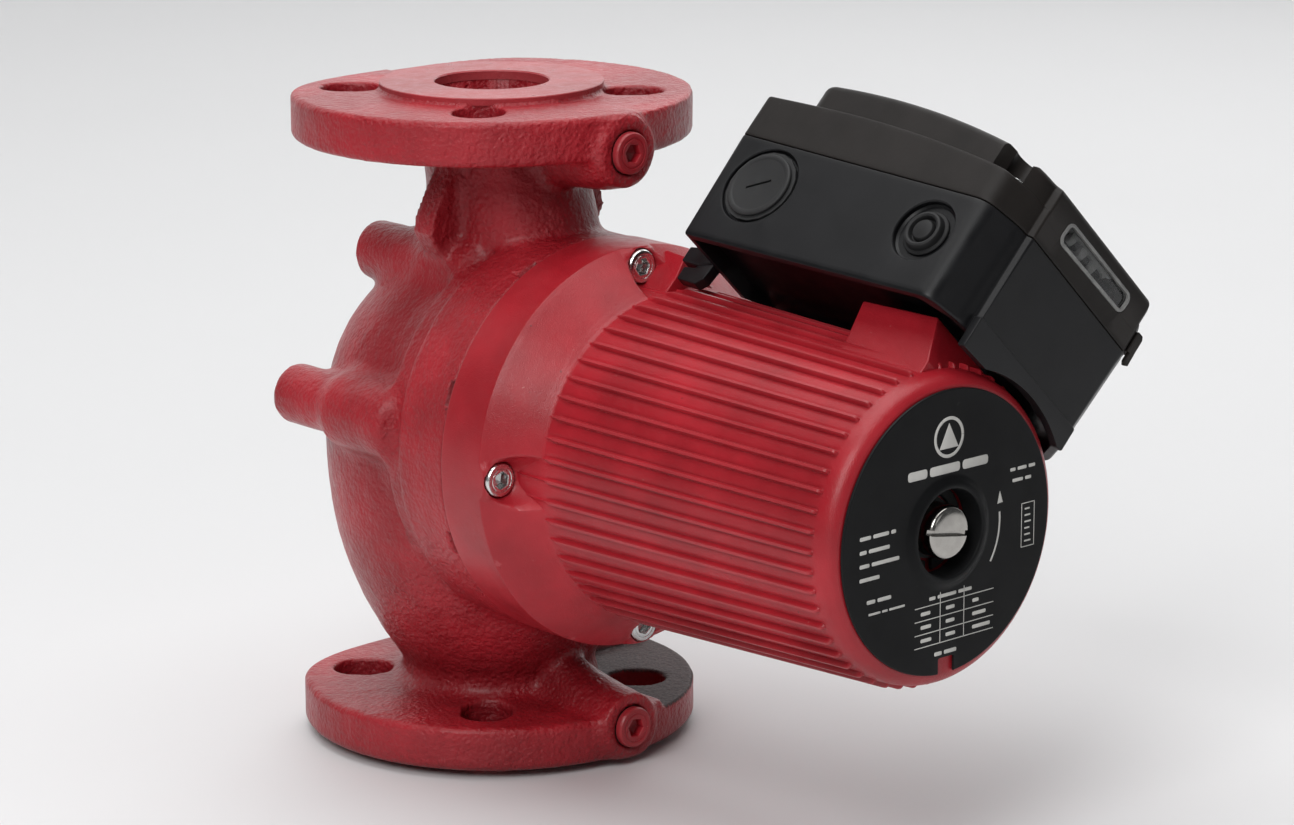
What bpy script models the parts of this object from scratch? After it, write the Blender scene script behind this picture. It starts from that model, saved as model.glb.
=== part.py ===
"""Wet-rotor heating circulator with two pipe flanges, built as separate pieces.

World frame: metres, +Z up along the pipe axis, the motor axis along -Y.
The origin is level with the lower flange's sealing face, 31 mm in front of the pipe axis.
Front is -Y, the motor side. Back and rear are +Y.
Lengths below are millimetres, and mesh() turns them into metres.
"""

import itertools
import math

import bmesh
import bpy
from mathutils import Matrix, Vector

for old in list(bpy.data.objects):
    bpy.data.objects.remove(old, do_unlink=True)

MM = 0.001

# ---- driving dimensions: housing ----
PORT_TO_PORT = 250.0  # sealing face to sealing face
PIPE_Y = 31.0  # pipe axis, behind the origin
MOTOR_Z = 124.0  # motor axis above the lower sealing face
FLANGE_R = 75.0
FLANGE_T = 16.7  # plate without the raised face
FLANGE_FLAT = 61.8  # flat back of both flanges, behind the pipe axis
RAISED_R, RAISED_H = 42.0, 3.0  # raised sealing face
PORT_R = 21.6
BOLT_CIRCLE_R = 52.75
BOLT_HOLE_R, BOLT_SLOT = 9.5, 4.0  # BOLT_SLOT is how much longer the hole is along the radius
CASE_R = 74.5  # ring that takes the motor
CASE_FACE = 58.6  # motor joint, measured from the pipe axis
CHAMBER_R = 60.0
RIM_R = 62.6  # recess for the bearing plate and the gasket
GAUGE_HEIGHTS = {"lower": 15.0, "upper": 232.7}  # plugs above the lower sealing face

# ---- driving dimensions: motor ----
STATOR_FLANGE_R = 75.0
STATOR_FLANGE_EDGE = 80.4  # where the flange's sloping face starts
BARREL_REAR_R, BARREL_FRONT_R = 60.2, 55.2
RIB_COUNT, RIB_PHASE, RIB_H = 50, 5.5, 1.3
RIB_HALF_ANGLE = 1.8  # degrees
STATOR_FRONT = 238.0
STATOR_BORE_R = 52.0
SCREW_R = 67.8  # circle of the motor screws
SCREW_SEAT = 77.5
SHAFT_R = 6.0
BEARING_BORE_R = SHAFT_R + 0.12
ROTOR_BORE_R = 6.3
ROTOR_R, CAN_IN, CAN_OUT = 32.0, 32.9, 33.5
GAP = 0.3  # between neighbouring pieces

# ---- driving dimensions: terminal box ----
BOX_LEAN = 45.0  # degrees from upright
BASE_LOW, BASE_TAPER = 56.0, 1.5  # underside, and how far it is drawn in
FLOOR_UNDER, FLOOR_TOP = 61.8, 64.4
PARTS_SEAT = 64.8  # underside of the pieces on the floor
CABLE_PLACE = (180, 0)
BOX_SCREW_ALONG, BOX_SCREWS_ACROSS = 206, (-27.0, 29.0)
BOX_SCREW_HOLE_R = 2.4
LID_WALL = 3.0  # thickness under the crowned tops
LID_SCREWS = [(117.6, -58.4), (227.5, -49.8), (224.4, 31.4), (119.5, 44.2)]  # along, across

# ---- shape settings ----
CROWN_STEPS = 12
MIN_STATION = 1.4  # closest spacing of a crowned shape's stations
BLADES, BLADE_STEPS, BLADE_HALF = 6, 4, 0.8
SLOT_COUNT = 24

# ---- frames ----
PIPE = Matrix.Translation((0.0, PIPE_Y, 0.0))
# z runs down from the upper sealing face
PIPE_DOWN = PIPE @ Matrix(((1, 0, 0, 0), (0, -1, 0, 0), (0, 0, -1, PORT_TO_PORT), (0, 0, 0, 1)))
# local x is world x, local y is up, local z runs out along the motor axis
MOTOR = Matrix.Translation((0.0, PIPE_Y, MOTOR_Z)) @ Matrix(
    ((1, 0, 0, 0), (0, 0, -1, 0), (0, 1, 0, 0), (0, 0, 0, 1)))
# local x is the distance along the motor axis, local y is across the box, from its upper
# side towards +X and down, local z is out, away from the motor
lean_cos, lean_sin = math.cos(math.radians(BOX_LEAN)), math.sin(math.radians(BOX_LEAN))
BOX = Matrix((
    (0, lean_cos, lean_sin, 0.0),
    (-1, 0, 0, PIPE_Y),
    (0, -lean_sin, lean_cos, MOTOR_Z),
    (0, 0, 0, 1),
))
SWAP_YZ = Matrix(((1, 0, 0, 0), (0, 0, 1, 0), (0, 1, 0, 0), (0, 0, 0, 1)))
PIPE_SIDE = PIPE @ SWAP_YZ  # (x, z) outlines pushed along y
BOX_SIDE = BOX @ SWAP_YZ  # (along, out) outlines pushed across
# (across, out) outlines pushed along the motor axis
BOX_FRONT = BOX @ Matrix(((0, 0, 1, 0), (1, 0, 0, 0), (0, 1, 0, 0), (0, 0, 0, 1)))

# ---- materials: name, base colour, roughness, metallic ----
RED = ("red_paint", (0.42, 0.015, 0.02), 0.38, 0.0)
BLACK = ("black_plastic", (0.018, 0.018, 0.019), 0.5, 0.0)
DARK = ("dark_plastic", (0.03, 0.03, 0.032), 0.55, 0.0)
ZINC = ("zinc_steel", (0.72, 0.72, 0.7), 0.28, 1.0)
STEEL = ("stainless", (0.62, 0.62, 0.6), 0.3, 1.0)
CERAMIC = ("ceramic", (0.75, 0.73, 0.68), 0.25, 0.0)
CARBON = ("carbon", (0.05, 0.05, 0.05), 0.45, 0.0)
RUBBER = ("rubber", (0.015, 0.015, 0.015), 0.7, 0.0)
COPPER = ("enamelled_copper", (0.55, 0.22, 0.08), 0.35, 0.8)
LAMINATE = ("electrical_steel", (0.35, 0.35, 0.36), 0.45, 0.9)
BRASS = ("brass", (0.7, 0.5, 0.2), 0.3, 1.0)
GREY = ("grey_plastic", (0.35, 0.36, 0.37), 0.5, 0.0)
BLUE = ("blue_plastic", (0.05, 0.12, 0.35), 0.45, 0.0)
CLEAR = ("clear_plastic", (0.8, 0.85, 0.85), 0.08, 0.0)
PLATE = ("plate_black", (0.012, 0.012, 0.013), 0.4, 0.0)


def material(name, colour, roughness, metallic):
    found = bpy.data.materials.get(name)
    if found:
        return found
    made = bpy.data.materials.new(name)
    made.use_nodes = True
    shader = made.node_tree.nodes["Principled BSDF"]
    shader.inputs["Base Color"].default_value = (*colour, 1.0)
    shader.inputs["Roughness"].default_value = roughness
    shader.inputs["Metallic"].default_value = metallic
    return made


# ---- outlines: lists of (x, y) ----
def polar(radius, angle):
    return radius * math.cos(angle), radius * math.sin(angle)


def polygon(radius, sides, phase=0.0, centre=(0.0, 0.0)):
    """A regular polygon whose first corner is at `phase` degrees."""
    points = []
    for i in range(sides):
        x, y = polar(radius, 2 * math.pi * i / sides + math.radians(phase))
        points.append((centre[0] + x, centre[1] + y))
    return points


def rectangle(x_low, x_high, y_low, y_high):
    return [(x_low, y_low), (x_high, y_low), (x_high, y_high), (x_low, y_high)]


def inset(outline, distance):
    """An anticlockwise outline moved inwards."""
    made = []
    for i, point in enumerate(outline):
        before, corner = Vector(outline[i - 1]), Vector(point)
        after = Vector(outline[(i + 1) % len(outline)])
        edge_in = (corner - before).normalized()
        edge_out = (after - corner).normalized()
        normal_in = Vector((-edge_in.y, edge_in.x))
        normal_out = Vector((-edge_out.y, edge_out.x))
        mitre = (normal_in + normal_out) / max(1.0 + normal_in.dot(normal_out), 0.3)
        made.append((corner.x + mitre.x * distance, corner.y + mitre.y * distance))
    return made


# ---- shapes: (points, faces) ----
turn_numbers = itertools.count(1)


def revolve(profile, segments, centre=(0.0, 0.0)):
    """A profile of (radius, height) turned about local z.

    A profile that starts and ends on the axis is a solid of revolution, any other is a ring.
    The starting angle follows the call count, to keep the edges of neighbouring shapes out
    of one plane, so the order of the calls is part of the design.
    """
    phase = 1.3 + 0.73 * (next(turn_numbers) % 17)
    verts, rows = [], []
    for radius, height in profile:
        if radius < 1e-6:
            rows.append([len(verts)] * segments)
            verts.append((centre[0], centre[1], height))
            continue
        rows.append(list(range(len(verts), len(verts) + segments)))
        verts += [(x, y, height) for x, y in polygon(radius, segments, phase, centre)]
    pairs = list(zip(rows, rows[1:]))
    if profile[0][0] >= 1e-6 or profile[-1][0] >= 1e-6:
        pairs.append((rows[-1], rows[0]))
    faces = []
    for low, high in pairs:
        for i in range(segments):
            j = (i + 1) % segments
            corners = list(dict.fromkeys((low[i], low[j], high[j], high[i])))
            if len(corners) > 2:
                faces.append(corners)
    return verts, faces


def cylinder(radius, low, high, segments, centre=(0.0, 0.0)):
    return revolve([(0, low), (radius, low), (radius, high), (0, high)], segments, centre)


def tube(inner, outer, low, high, segments):
    return revolve(rectangle(inner, outer, low, high), segments)


def loft(rings):
    """Rings of equally many points joined in order, with both ends closed."""
    count = len(rings[0])
    last = count * (len(rings) - 1)
    faces = [list(range(count))[::-1], [last + i for i in range(count)]]
    for start in range(0, last, count):
        for i in range(count):
            j = (i + 1) % count
            faces.append([start + i, start + j, start + count + j, start + count + i])
    return [point for ring in rings for point in ring], faces


def height_at(height, x):
    """A height is a number or a function of x."""
    return height(x) if callable(height) else height


def prism(outline, low, high, shrink_low=0.0, shrink_high=0.0):
    """An outline raised from low to high. shrink moves that end's outline inwards."""
    return loft([
        [(x, y, height_at(height, x)) for x, y in inset(outline, shrink)]
        for height, shrink in ((low, shrink_low), (high, shrink_high))
    ])


def crowned(outline, low, high):
    """An outline raised from low to high, with straight lines across at each station along x,
    so that a curved top stays even."""
    start, end = min(p[0] for p in outline), max(p[0] for p in outline)

    def sides_at(x):
        hits = []
        for p, q in zip(outline, outline[1:] + outline[:1]):
            if abs(p[0] - q[0]) < 1e-3:
                if abs(p[0] - x) < 2e-3:
                    hits += [p[1], q[1]]
            elif min(p[0], q[0]) - 1e-3 <= x <= max(p[0], q[0]) + 1e-3:
                hits.append(p[1] + (q[1] - p[1]) * (x - p[0]) / (q[0] - p[0]))
        return min(hits), max(hits)

    even = {round(start + (end - start) * i / CROWN_STEPS, 4) for i in range(1, CROWN_STEPS)}
    stations = sorted({round(p[0], 4) for p in outline} | even)
    rings = []
    for i, x in enumerate(stations):
        spacing = min(abs(x - stations[i - 1]), abs(x - start), abs(x - end))
        if i not in (0, len(stations) - 1) and spacing <= MIN_STATION:
            continue
        near, far = sides_at(x)
        bottom, top = height_at(low, x), height_at(high, x)
        rings.append([(x, near, bottom), (x, far, bottom), (x, far, top), (x, near, top)])
    return loft(rings)


# ---- objects ----
def mesh(name, shape, frame, look, origin=(0.0, 0.0, 0.0), smooth=35.0):
    """An object from a shape in a frame, with its own origin at `origin` in that frame."""
    verts, faces = shape
    data = bpy.data.meshes.new(name)
    bm = bmesh.new()
    made = [bm.verts.new([(v - o) * MM for v, o in zip(vert, origin)]) for vert in verts]
    for face in faces:
        bm.faces.new([made[i] for i in face])
    bmesh.ops.recalc_face_normals(bm, faces=bm.faces[:])
    if bm.calc_volume(signed=True) < 0:
        bmesh.ops.reverse_faces(bm, faces=bm.faces[:])
    bm.to_mesh(data)
    bm.free()
    if smooth:
        data.shade_smooth()
        data.set_sharp_from_angle(angle=math.radians(smooth))
    obj = bpy.data.objects.new(name, data)
    bpy.context.scene.collection.objects.link(obj)
    placed = frame @ Matrix.Translation(origin)
    placed.translation = placed.translation * MM
    obj.matrix_world = placed
    if look:
        data.materials.append(material(*look))
    return obj


helper_numbers = itertools.count(1)


def boolean(obj, shape, frame, operation):
    """Adds or cuts a helper shape. The helper stays in the file, hidden from renders."""
    number = next(helper_numbers)
    helper = mesh(f"helper_{number}", shape, frame, None, smooth=0)
    helper.hide_render = True
    helper.display_type = "WIRE"
    modifier = obj.modifiers.new(f"{operation.lower()}_{number}", "BOOLEAN")
    modifier.operation = operation
    modifier.solver = "EXACT"
    modifier.object = helper


def cut(obj, shape, frame):
    boolean(obj, shape, frame, "DIFFERENCE")


def add(obj, shape, frame):
    boolean(obj, shape, frame, "UNION")


def at_point(frame, point, direction=(0, 0, 1)):
    """A frame inside another one, its z along `direction` and its x near the other's x."""
    z = Vector(direction).normalized()
    across = Vector((1, 0, 0))
    x = (across - across.dot(z) * z).normalized()
    turn = Matrix((x, z.cross(x), z)).transposed().to_4x4()
    return frame @ Matrix.Translation(point) @ turn


def motor_pieces(table):
    """Turned pieces on the motor axis from rows of name, material, segments, profile."""
    for name, look, segments, profile in table:
        mesh(name, revolve(profile, segments), MOTOR, look)


def socket_screw(name, frame, *, head_r, head_h, shank_r, shank_l, hex_r, look):
    """A screw with its head's underside at the frame's z = 0 and its shank down -z."""
    screw = mesh(name, revolve([
        (0, -shank_l), (shank_r - 0.5, -shank_l), (shank_r, -shank_l + 0.7), (shank_r, 0),
        (head_r, 0), (head_r, head_h - 0.7), (head_r - 0.7, head_h), (0, head_h),
    ], 12), frame, look)
    cut(screw, prism(polygon(hex_r, 6), head_h - 3.6, head_h + 2), frame)


SCREW_PLACES = [polar(SCREW_R, math.radians(angle)) for angle in (0, 90, 180, 270)]
GAUGE_PLACES = {name: (0, z - MOTOR_Z) for name, z in GAUGE_HEIGHTS.items()}


# ---- pump housing ----
def housing_body():
    """Both flanges and the body between them, turned about the pipe axis."""
    back = RAISED_H + FLANGE_T  # back of the lower flange
    top = PORT_TO_PORT
    top_back = top - RAISED_H - FLANGE_T
    return mesh("pump_housing", revolve([
        (0, 0), (RAISED_R, 0), (RAISED_R + 1.6, RAISED_H), (FLANGE_R - 1.5, RAISED_H),
        (FLANGE_R, RAISED_H + 1.5), (FLANGE_R, back - 1.5), (FLANGE_R - 1.5, back),
        (39, back + 0.6), (38.5, 27), (43.5, 37), (53, 55), (59.5, 73), (63, 90), (64.3, 112),
        (63, 138), (54, 161), (43, 174), (32, 186), (28.5, 204), (30, 228),
        (33, top_back - 0.8), (FLANGE_R - 2, top_back), (FLANGE_R, top_back + 2),
        (FLANGE_R, top - RAISED_H - 2), (FLANGE_R - 2, top - RAISED_H),
        (RAISED_R + 1.6, top - RAISED_H), (RAISED_R, top), (0, top),
    ], 30), PIPE, RED)


def flatten_back(housing):
    # the body, but not the flanges
    cut(housing, prism(rectangle(-90, 90, 40, 120), 33, 215), PIPE)
    # both flanges are cut flat at the back, then their corners are taken off
    slope = FLANGE_FLAT - 17
    for outline in (
        rectangle(-90, 90, FLANGE_FLAT, 120),
        [(31, FLANGE_FLAT), (58, slope), (90, 70), (90, 120), (31, 120)],
        [(-31, FLANGE_FLAT), (-31, 120), (-90, 120), (-90, 70), (-58, slope)],
    ):
        cut(housing, prism(outline, -10, 260), PIPE)


def add_outside(housing):
    # the ring that carries the motor, stepped down towards the back
    add(housing, revolve([
        (0, -12), (50, -12), (60, 2), (66, 8), (68.5, 21), (71, 23), (72, 29),
        (CASE_R, 32), (CASE_R, CASE_FACE), (0, CASE_FACE),
    ], 32), MOTOR)
    # neck that leans from the delivery port towards the impeller
    neck = at_point(PIPE, (0, 0, 236), (0, -0.42, -1))
    add(housing, revolve([(0, 0), (27.5, 0), (26.5, 58), (0, 58)], 18), neck)
    # upright web across the upper neck, in front of the pipe axis
    add(housing, prism([
        (-27, 234), (-38, 213), (-50, 193), (-53, 182), (-50, 170),
        (50, 170), (53, 182), (50, 193), (38, 213), (27, 234),
    ], -16, -8), PIPE_SIDE)
    # four bosses on the back for a wall bracket
    for angle in (172.5, 111.5, 68.5, 7.5):
        boss = [(0, -46), (10.6, -46), (11.4, -45), (12, 30), (0, 30)]
        add(housing, revolve(boss, 12, polar(62.5, math.radians(angle))), MOTOR)
    # gauge bosses at the flange rims, facing the motor side
    for place in GAUGE_PLACES.values():
        add(housing, revolve([(0, 50), (13.2, 50), (12.6, 77), (0, 77)], 14, place), MOTOR)


def cut_passages(housing):
    # suction from below, turning forwards into the eye
    cut(housing, revolve([
        (0, -5), (PORT_R, -5), (PORT_R, 60), (20, 80),
        (20, MOTOR_Z + 2), (15, MOTOR_Z + 15), (0, MOTOR_Z + 20.5),
    ], 18), PIPE)
    cut(housing, revolve([
        (0, -11), (12, -10), (18.6, -2), (18.6, 17), (24, 17.2), (24, 28), (0, 28),
    ], 24), MOTOR)
    # pump chamber, open to the motor, with a recess for the bearing plate
    cut(housing, revolve([
        (0, 27), (CHAMBER_R, 27), (CHAMBER_R, 55), (RIM_R, 55), (RIM_R, 65), (0, 65),
    ], 32), MOTOR)
    # delivery passage: the port, then a bore that leans down and forwards
    port = [(0, -5), (PORT_R, -5), (PORT_R, 20), (17, 44), (0, 44)]
    cut(housing, revolve(port, 18), PIPE_DOWN)
    leaning = at_point(PIPE, (0, 3, 226), (0, -0.62, -1))
    cut(housing, revolve([(0, 6), (16.4, 6), (15, 68), (0, 68)], 14), leaning)


def bolt_slot():
    """Outline of a flange bolt hole, lengthened along the radius."""
    outline = []
    for i in range(12):
        x, y = polar(1.0, 2 * math.pi * i / 12)
        shift = math.copysign(BOLT_SLOT / 2, x) if abs(x) > 1e-6 else 0.0
        outline.append((BOLT_CIRCLE_R + BOLT_HOLE_R * x * 0.98 + shift, BOLT_HOLE_R * y))
    return outline


def cut_holes(housing):
    for low, high in ((-2, 30), (PORT_TO_PORT - 30, PORT_TO_PORT + 2)):
        for angle in (45, 135, 225, 315):
            turned = PIPE @ Matrix.Rotation(math.radians(angle), 4, "Z")
            cut(housing, prism(bolt_slot(), low, high), turned)
    # bores for the motor screws and the gauge plugs
    for place in SCREW_PLACES:
        cut(housing, cylinder(3.9, 38, 65, 12, place), MOTOR)
    for place in GAUGE_PLACES.values():
        cut(housing, revolve([
            (0, 56), (6.7, 56), (6.7, 74.5), (8.4, 74.5), (8.4, 90), (0, 90),
        ], 12, place), MOTOR)


def build_housing():
    housing = housing_body()
    flatten_back(housing)
    add_outside(housing)
    cut_passages(housing)
    cut_holes(housing)


# ---- pieces inside the pump ----
def blade(number):
    """Outline of one curved impeller blade."""
    leading, trailing = [], []
    for i in range(BLADE_STEPS + 1):
        radius = 22.0 + (51.4 - 22.0) * i / BLADE_STEPS
        angle = math.radians(360 / BLADES * number - 62 * (i / BLADE_STEPS) ** 0.8)
        half = BLADE_HALF / radius
        leading.append(polar(radius, angle + half))
        trailing.append(polar(radius, angle - half))
    return leading + trailing[::-1]


def build_impeller():
    """A rear shroud with the eye, a front shroud with the hub, and blades between them."""
    impeller = mesh("impeller", revolve([
        (17.8, 20), (20.9, 20), (20.9, 28.6), (52, 30), (52, 31.6), (24, 30.6), (17.8, 29),
    ], 26), MOTOR, STEEL)
    add(impeller, revolve([
        (ROTOR_BORE_R, 33), (10, 33), (11, 39), (52, 41), (52, 42.6),
        (11, 42.8), (11, 45), (ROTOR_BORE_R, 45),
    ], 26), MOTOR)
    for number in range(BLADES):
        add(impeller, prism(blade(number), 29.6, 42.0), MOTOR)


def build_pump_inside():
    mesh("neck_ring", tube(21.3, 23.6, 18, 26, 24), MOTOR, STEEL)
    build_impeller()
    nut = mesh("impeller_nut", prism(polygon(9.6, 6), 24, 32.6), MOTOR, STEEL)
    cut(nut, cylinder(6.4, 20, 40, 20), MOTOR)
    plate_r = RIM_R - GAP
    motor_pieces([
        ("shaft", STEEL, 18, [
            (0, 22), (5.4, 22), (SHAFT_R, 22.8), (SHAFT_R, 201), (5.4, 201.8), (0, 201.8)]),
        ("thrust_collar", CARBON, 18, rectangle(ROTOR_BORE_R, 13, 64.4, 69)),
        ("rotor", STEEL, 26, [
            (ROTOR_BORE_R, 72), (30, 72), (30, 80), (ROTOR_R, 81),
            (ROTOR_R, 167), (30, 168), (30, 176), (ROTOR_BORE_R, 176)]),
        ("front_bearing", CERAMIC, 18, [
            (BEARING_BORE_R, 46.4), (9.7, 46.4), (9.7, 61.6),
            (12.6, 61.6), (12.6, 64.1), (BEARING_BORE_R, 64.1)]),
        ("bearing_plate", STEEL, 26, [
            (10.0, 47), (14, 47), (14, 54), (plate_r, 55.3), (plate_r, 57.0),
            (31, 57.0), (14, 60.8), (10.0, 61.3)]),
        ("rotor_can", STEEL, 26, [
            (CAN_IN, 57.3), (46, 57.3), (46, 58.3), (CAN_OUT, 58.6), (CAN_OUT, 206),
            (16, 212), (11, 212.6), (11, 221), (8.3, 221), (8.3, 205), (12.3, 204.6),
            (12.3, 186), (14.5, 186), (14.5, 203), (CAN_IN, 203.4)]),
        ("rear_bearing", CERAMIC, 18, rectangle(BEARING_BORE_R, 12, 187, 201)),
        ("housing_gasket", RUBBER, 32, rectangle(58, plate_r, 57.3, CASE_FACE)),
    ])


# ---- stator housing ----
def barrel(along):
    """Radius of the tapered barrel between its ribs."""
    return BARREL_REAR_R + (BARREL_FRONT_R - BARREL_REAR_R) * (along - 100.0) / 128.0


def ribbed_ring(along):
    ring = []
    for number in range(RIB_COUNT):
        centre = RIB_PHASE + 360.0 / RIB_COUNT * number
        for offset, rise in ((-RIB_HALF_ANGLE, 0), (0.0, RIB_H), (RIB_HALF_ANGLE, 0)):
            x, y = polar(barrel(along) + rise, math.radians(centre + offset))
            ring.append((x, y, along))
    return ring


def build_stator_housing():
    stator = mesh("stator_housing", loft([ribbed_ring(98.0), ribbed_ring(228.5)]), MOTOR, RED)
    # flange against the pump, then the rounded front end
    add(stator, revolve([
        (0, CASE_FACE + GAP), (STATOR_FLANGE_R, CASE_FACE + GAP),
        (STATOR_FLANGE_R, STATOR_FLANGE_EDGE),
        (STATOR_FLANGE_R - 0.8, STATOR_FLANGE_EDGE + 0.9), (61.8, 95.8),
        (barrel(97.5), 97.6), (barrel(97.5) - 3, 98.4), (0, 98.4),
    ], 32), MOTOR)
    add(stator, revolve([
        (0, 225), (barrel(226) - 0.4, 225), (barrel(229.5), 229.2), (54.4, 234.5),
        (52.8, 237.2), (51.4, STATOR_FRONT), (0, STATOR_FRONT),
    ], 32), MOTOR)
    # pads for the terminal box: one at the front, and a rear one against the flange
    for pad in (
        [(187, 57.5), (223, 57.5), (231, 39), (230, 20), (190, 20), (190.5, 40)],
        [(82, 60), (100, 58.5), (103, 40), (103, 20), (82, 20)],
    ):
        add(stator, prism(pad, -42, 32), BOX_SIDE)
    # pockets for the screw heads and holes for the shanks
    for place in SCREW_PLACES:
        cut(stator, cylinder(6.8, SCREW_SEAT, 100, 12, place), MOTOR)
        cut(stator, cylinder(4.0, 50, 90, 12, place), MOTOR)
    # bore for the stator with a pocket for the bearing plate, then the vent screw's opening
    cut(stator, revolve([
        (0, 50), (58, 50), (58, 66), (STATOR_BORE_R, 70), (STATOR_BORE_R, 218),
        (34, 222), (0, 222),
    ], 32), MOTOR)
    cut(stator, revolve([
        (0, 215), (11.4, 215), (11.4, 227), (16, 228), (16, 245), (0, 245),
    ], 18), MOTOR)
    # cable exit into the box
    cut(stator, cylinder(7, 44, 60, 12, CABLE_PLACE), BOX)
    return stator


def build_stator_pack():
    """Stator pack with slots open towards the can, and a winding at each end."""
    # one slot: degrees from its centre, radius
    slot = ((-5.0, 34.2), (-1.6, 34.2), (-2.6, 44), (2.6, 44), (1.6, 34.2))
    slots = [
        polar(radius, math.radians(360 / SLOT_COUNT * number + offset))
        for number in range(SLOT_COUNT)
        for offset, radius in slot
    ]
    core = mesh("stator_core", cylinder(STATOR_BORE_R - GAP, 92, 168, 26), MOTOR, LAMINATE)
    cut(core, prism(slots, 80, 180), MOTOR)
    motor_pieces([
        ("winding_rear", COPPER, 26, [
            (37, 76), (40, 73.5), (46, 73.5), (50, 78), (50.5, 91.5), (36, 91.5)]),
        ("winding_front", COPPER, 26, [
            (36, 168.5), (50.5, 168.5), (50, 182), (46, 187), (40, 187), (37, 184)]),
    ])


def build_nameplate():
    """A thin disc with a hole and a notch at the bottom."""
    disc = tube(16.2, 50, STATOR_FRONT + GAP, STATOR_FRONT + 1.2, 32)
    plate = mesh("nameplate", disc, MOTOR, PLATE)
    cut(plate, prism(rectangle(-4.2, 4.2, -60, -43.5), 236, 242), MOTOR)


def build_housing_screws():
    for number, (x, y) in enumerate(SCREW_PLACES, 1):
        socket_screw(
            f"housing_screw_{number}", at_point(MOTOR, (x, y, SCREW_SEAT + GAP)),
            head_r=6.3, head_h=6.6, shank_r=3.4, shank_l=38.4, hex_r=2.9, look=ZINC)


def build_gauge_plugs():
    """A hollow-hexagon plug and a sealing ring at each flange."""
    for name, (x, y) in GAUGE_PLACES.items():
        socket_screw(
            f"gauge_plug_{name}", at_point(MOTOR, (x, y, 76.6)),
            head_r=7.6, head_h=3.0, shank_r=6.3, shank_l=16, hex_r=3.3, look=RED)
        seat = at_point(MOTOR, (x, y, 74.8))
        mesh(f"gauge_seal_{name}", tube(6.8, 8.0, 0, 1.5, 14), seat, RUBBER)


def build_vent_screw():
    vent = mesh("vent_screw", revolve([
        (0, 209), (6.4, 209), (7.4, 210), (7.4, 230.6), (8.6, 231),
        (9.8, 232), (9.8, 240), (9.2, 240.8), (0, 240.8),
    ], 18), MOTOR, ZINC)
    turned = MOTOR @ Matrix.Rotation(math.radians(4), 4, "Z")
    cut(vent, prism(rectangle(-12, 12, -0.9, 0.9), 238.6, 245), turned)
    mesh("vent_screw_seal", tube(7.8, 10.8, 227.6, 230.2, 18), MOTOR, RUBBER)


# ---- terminal box: (along, across) outlines and heights out from the motor axis ----
OUTLINE = [
    (111.5, -64.5), (113.5, -66.4), (222, -60.2), (228.5, -58.2), (233.5, -53.5),
    (236.5, -47), (237.5, -42), (240, -40), (240, 26), (236, 31), (221, 45), (215, 48),
    (113.5, 52.5), (111.5, 50.5),
]
# simpler outline with the small corners left out, for the hollows
INNER = [
    (111.5, -66.3), (226, -60.0), (236.2, -49.0), (239.6, -36.0), (240, 27), (219, 46.5),
    (111.5, 52.4),
]
# raised middle of the lid, and its simpler outline for the hollow
RAISED = [
    (126.5, -56), (134, -62.2), (150, -62.8), (184, -61), (200, -57.6), (214, -51.5),
    (226, -43.4), (236, -37.5), (238.4, -36.8), (238.4, 18), (232, 20.5), (217, 24),
    (213, 33), (205, 41), (184, 47.0), (150, 49), (134, 48.4), (126.5, 42),
]
RAISED_INNER = [
    (126.5, -61), (150, -62.8), (190, -60), (214, -51.5), (238.4, -36.8), (238.4, 19),
    (214, 24), (204, 40), (150, 49), (126.5, 47),
]
SEAM_REAR = 99.6


def seam(along):
    """Joint between base and lid."""
    return SEAM_REAR - 0.03 * (along - 112)


def ledge(along):
    """Top of the lid around its raised middle."""
    drop = 7.0 if along > 140 else 2.0
    return 117.6 - drop * ((along - 140) / 85) ** 2


def crown(along):
    """Top of the lid's raised middle."""
    return 129.3 - 11.8 * ((along - 150) / 88) ** 2


def offset_height(curve, offset):
    return lambda along: curve(along) + offset


def on_wall(along, out):
    """A frame on the long side wall at negative across, z out of the wall."""
    (start, start_across), (end, end_across) = OUTLINE[1], OUTLINE[2]
    closing = math.atan2(end_across - start_across, end - start)
    draft = BASE_TAPER * (SEAM_REAR - out) / (SEAM_REAR - BASE_LOW)
    across = start_across + (along - start) * math.tan(closing) + draft
    outwards = (math.sin(closing), -math.cos(closing), -0.035)
    return at_point(BOX, (along, across, out), outwards)


LARGE_OPENING = on_wall(133.5, 81.2)
SMALL_OPENING = on_wall(212.3, 79.6)


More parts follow.
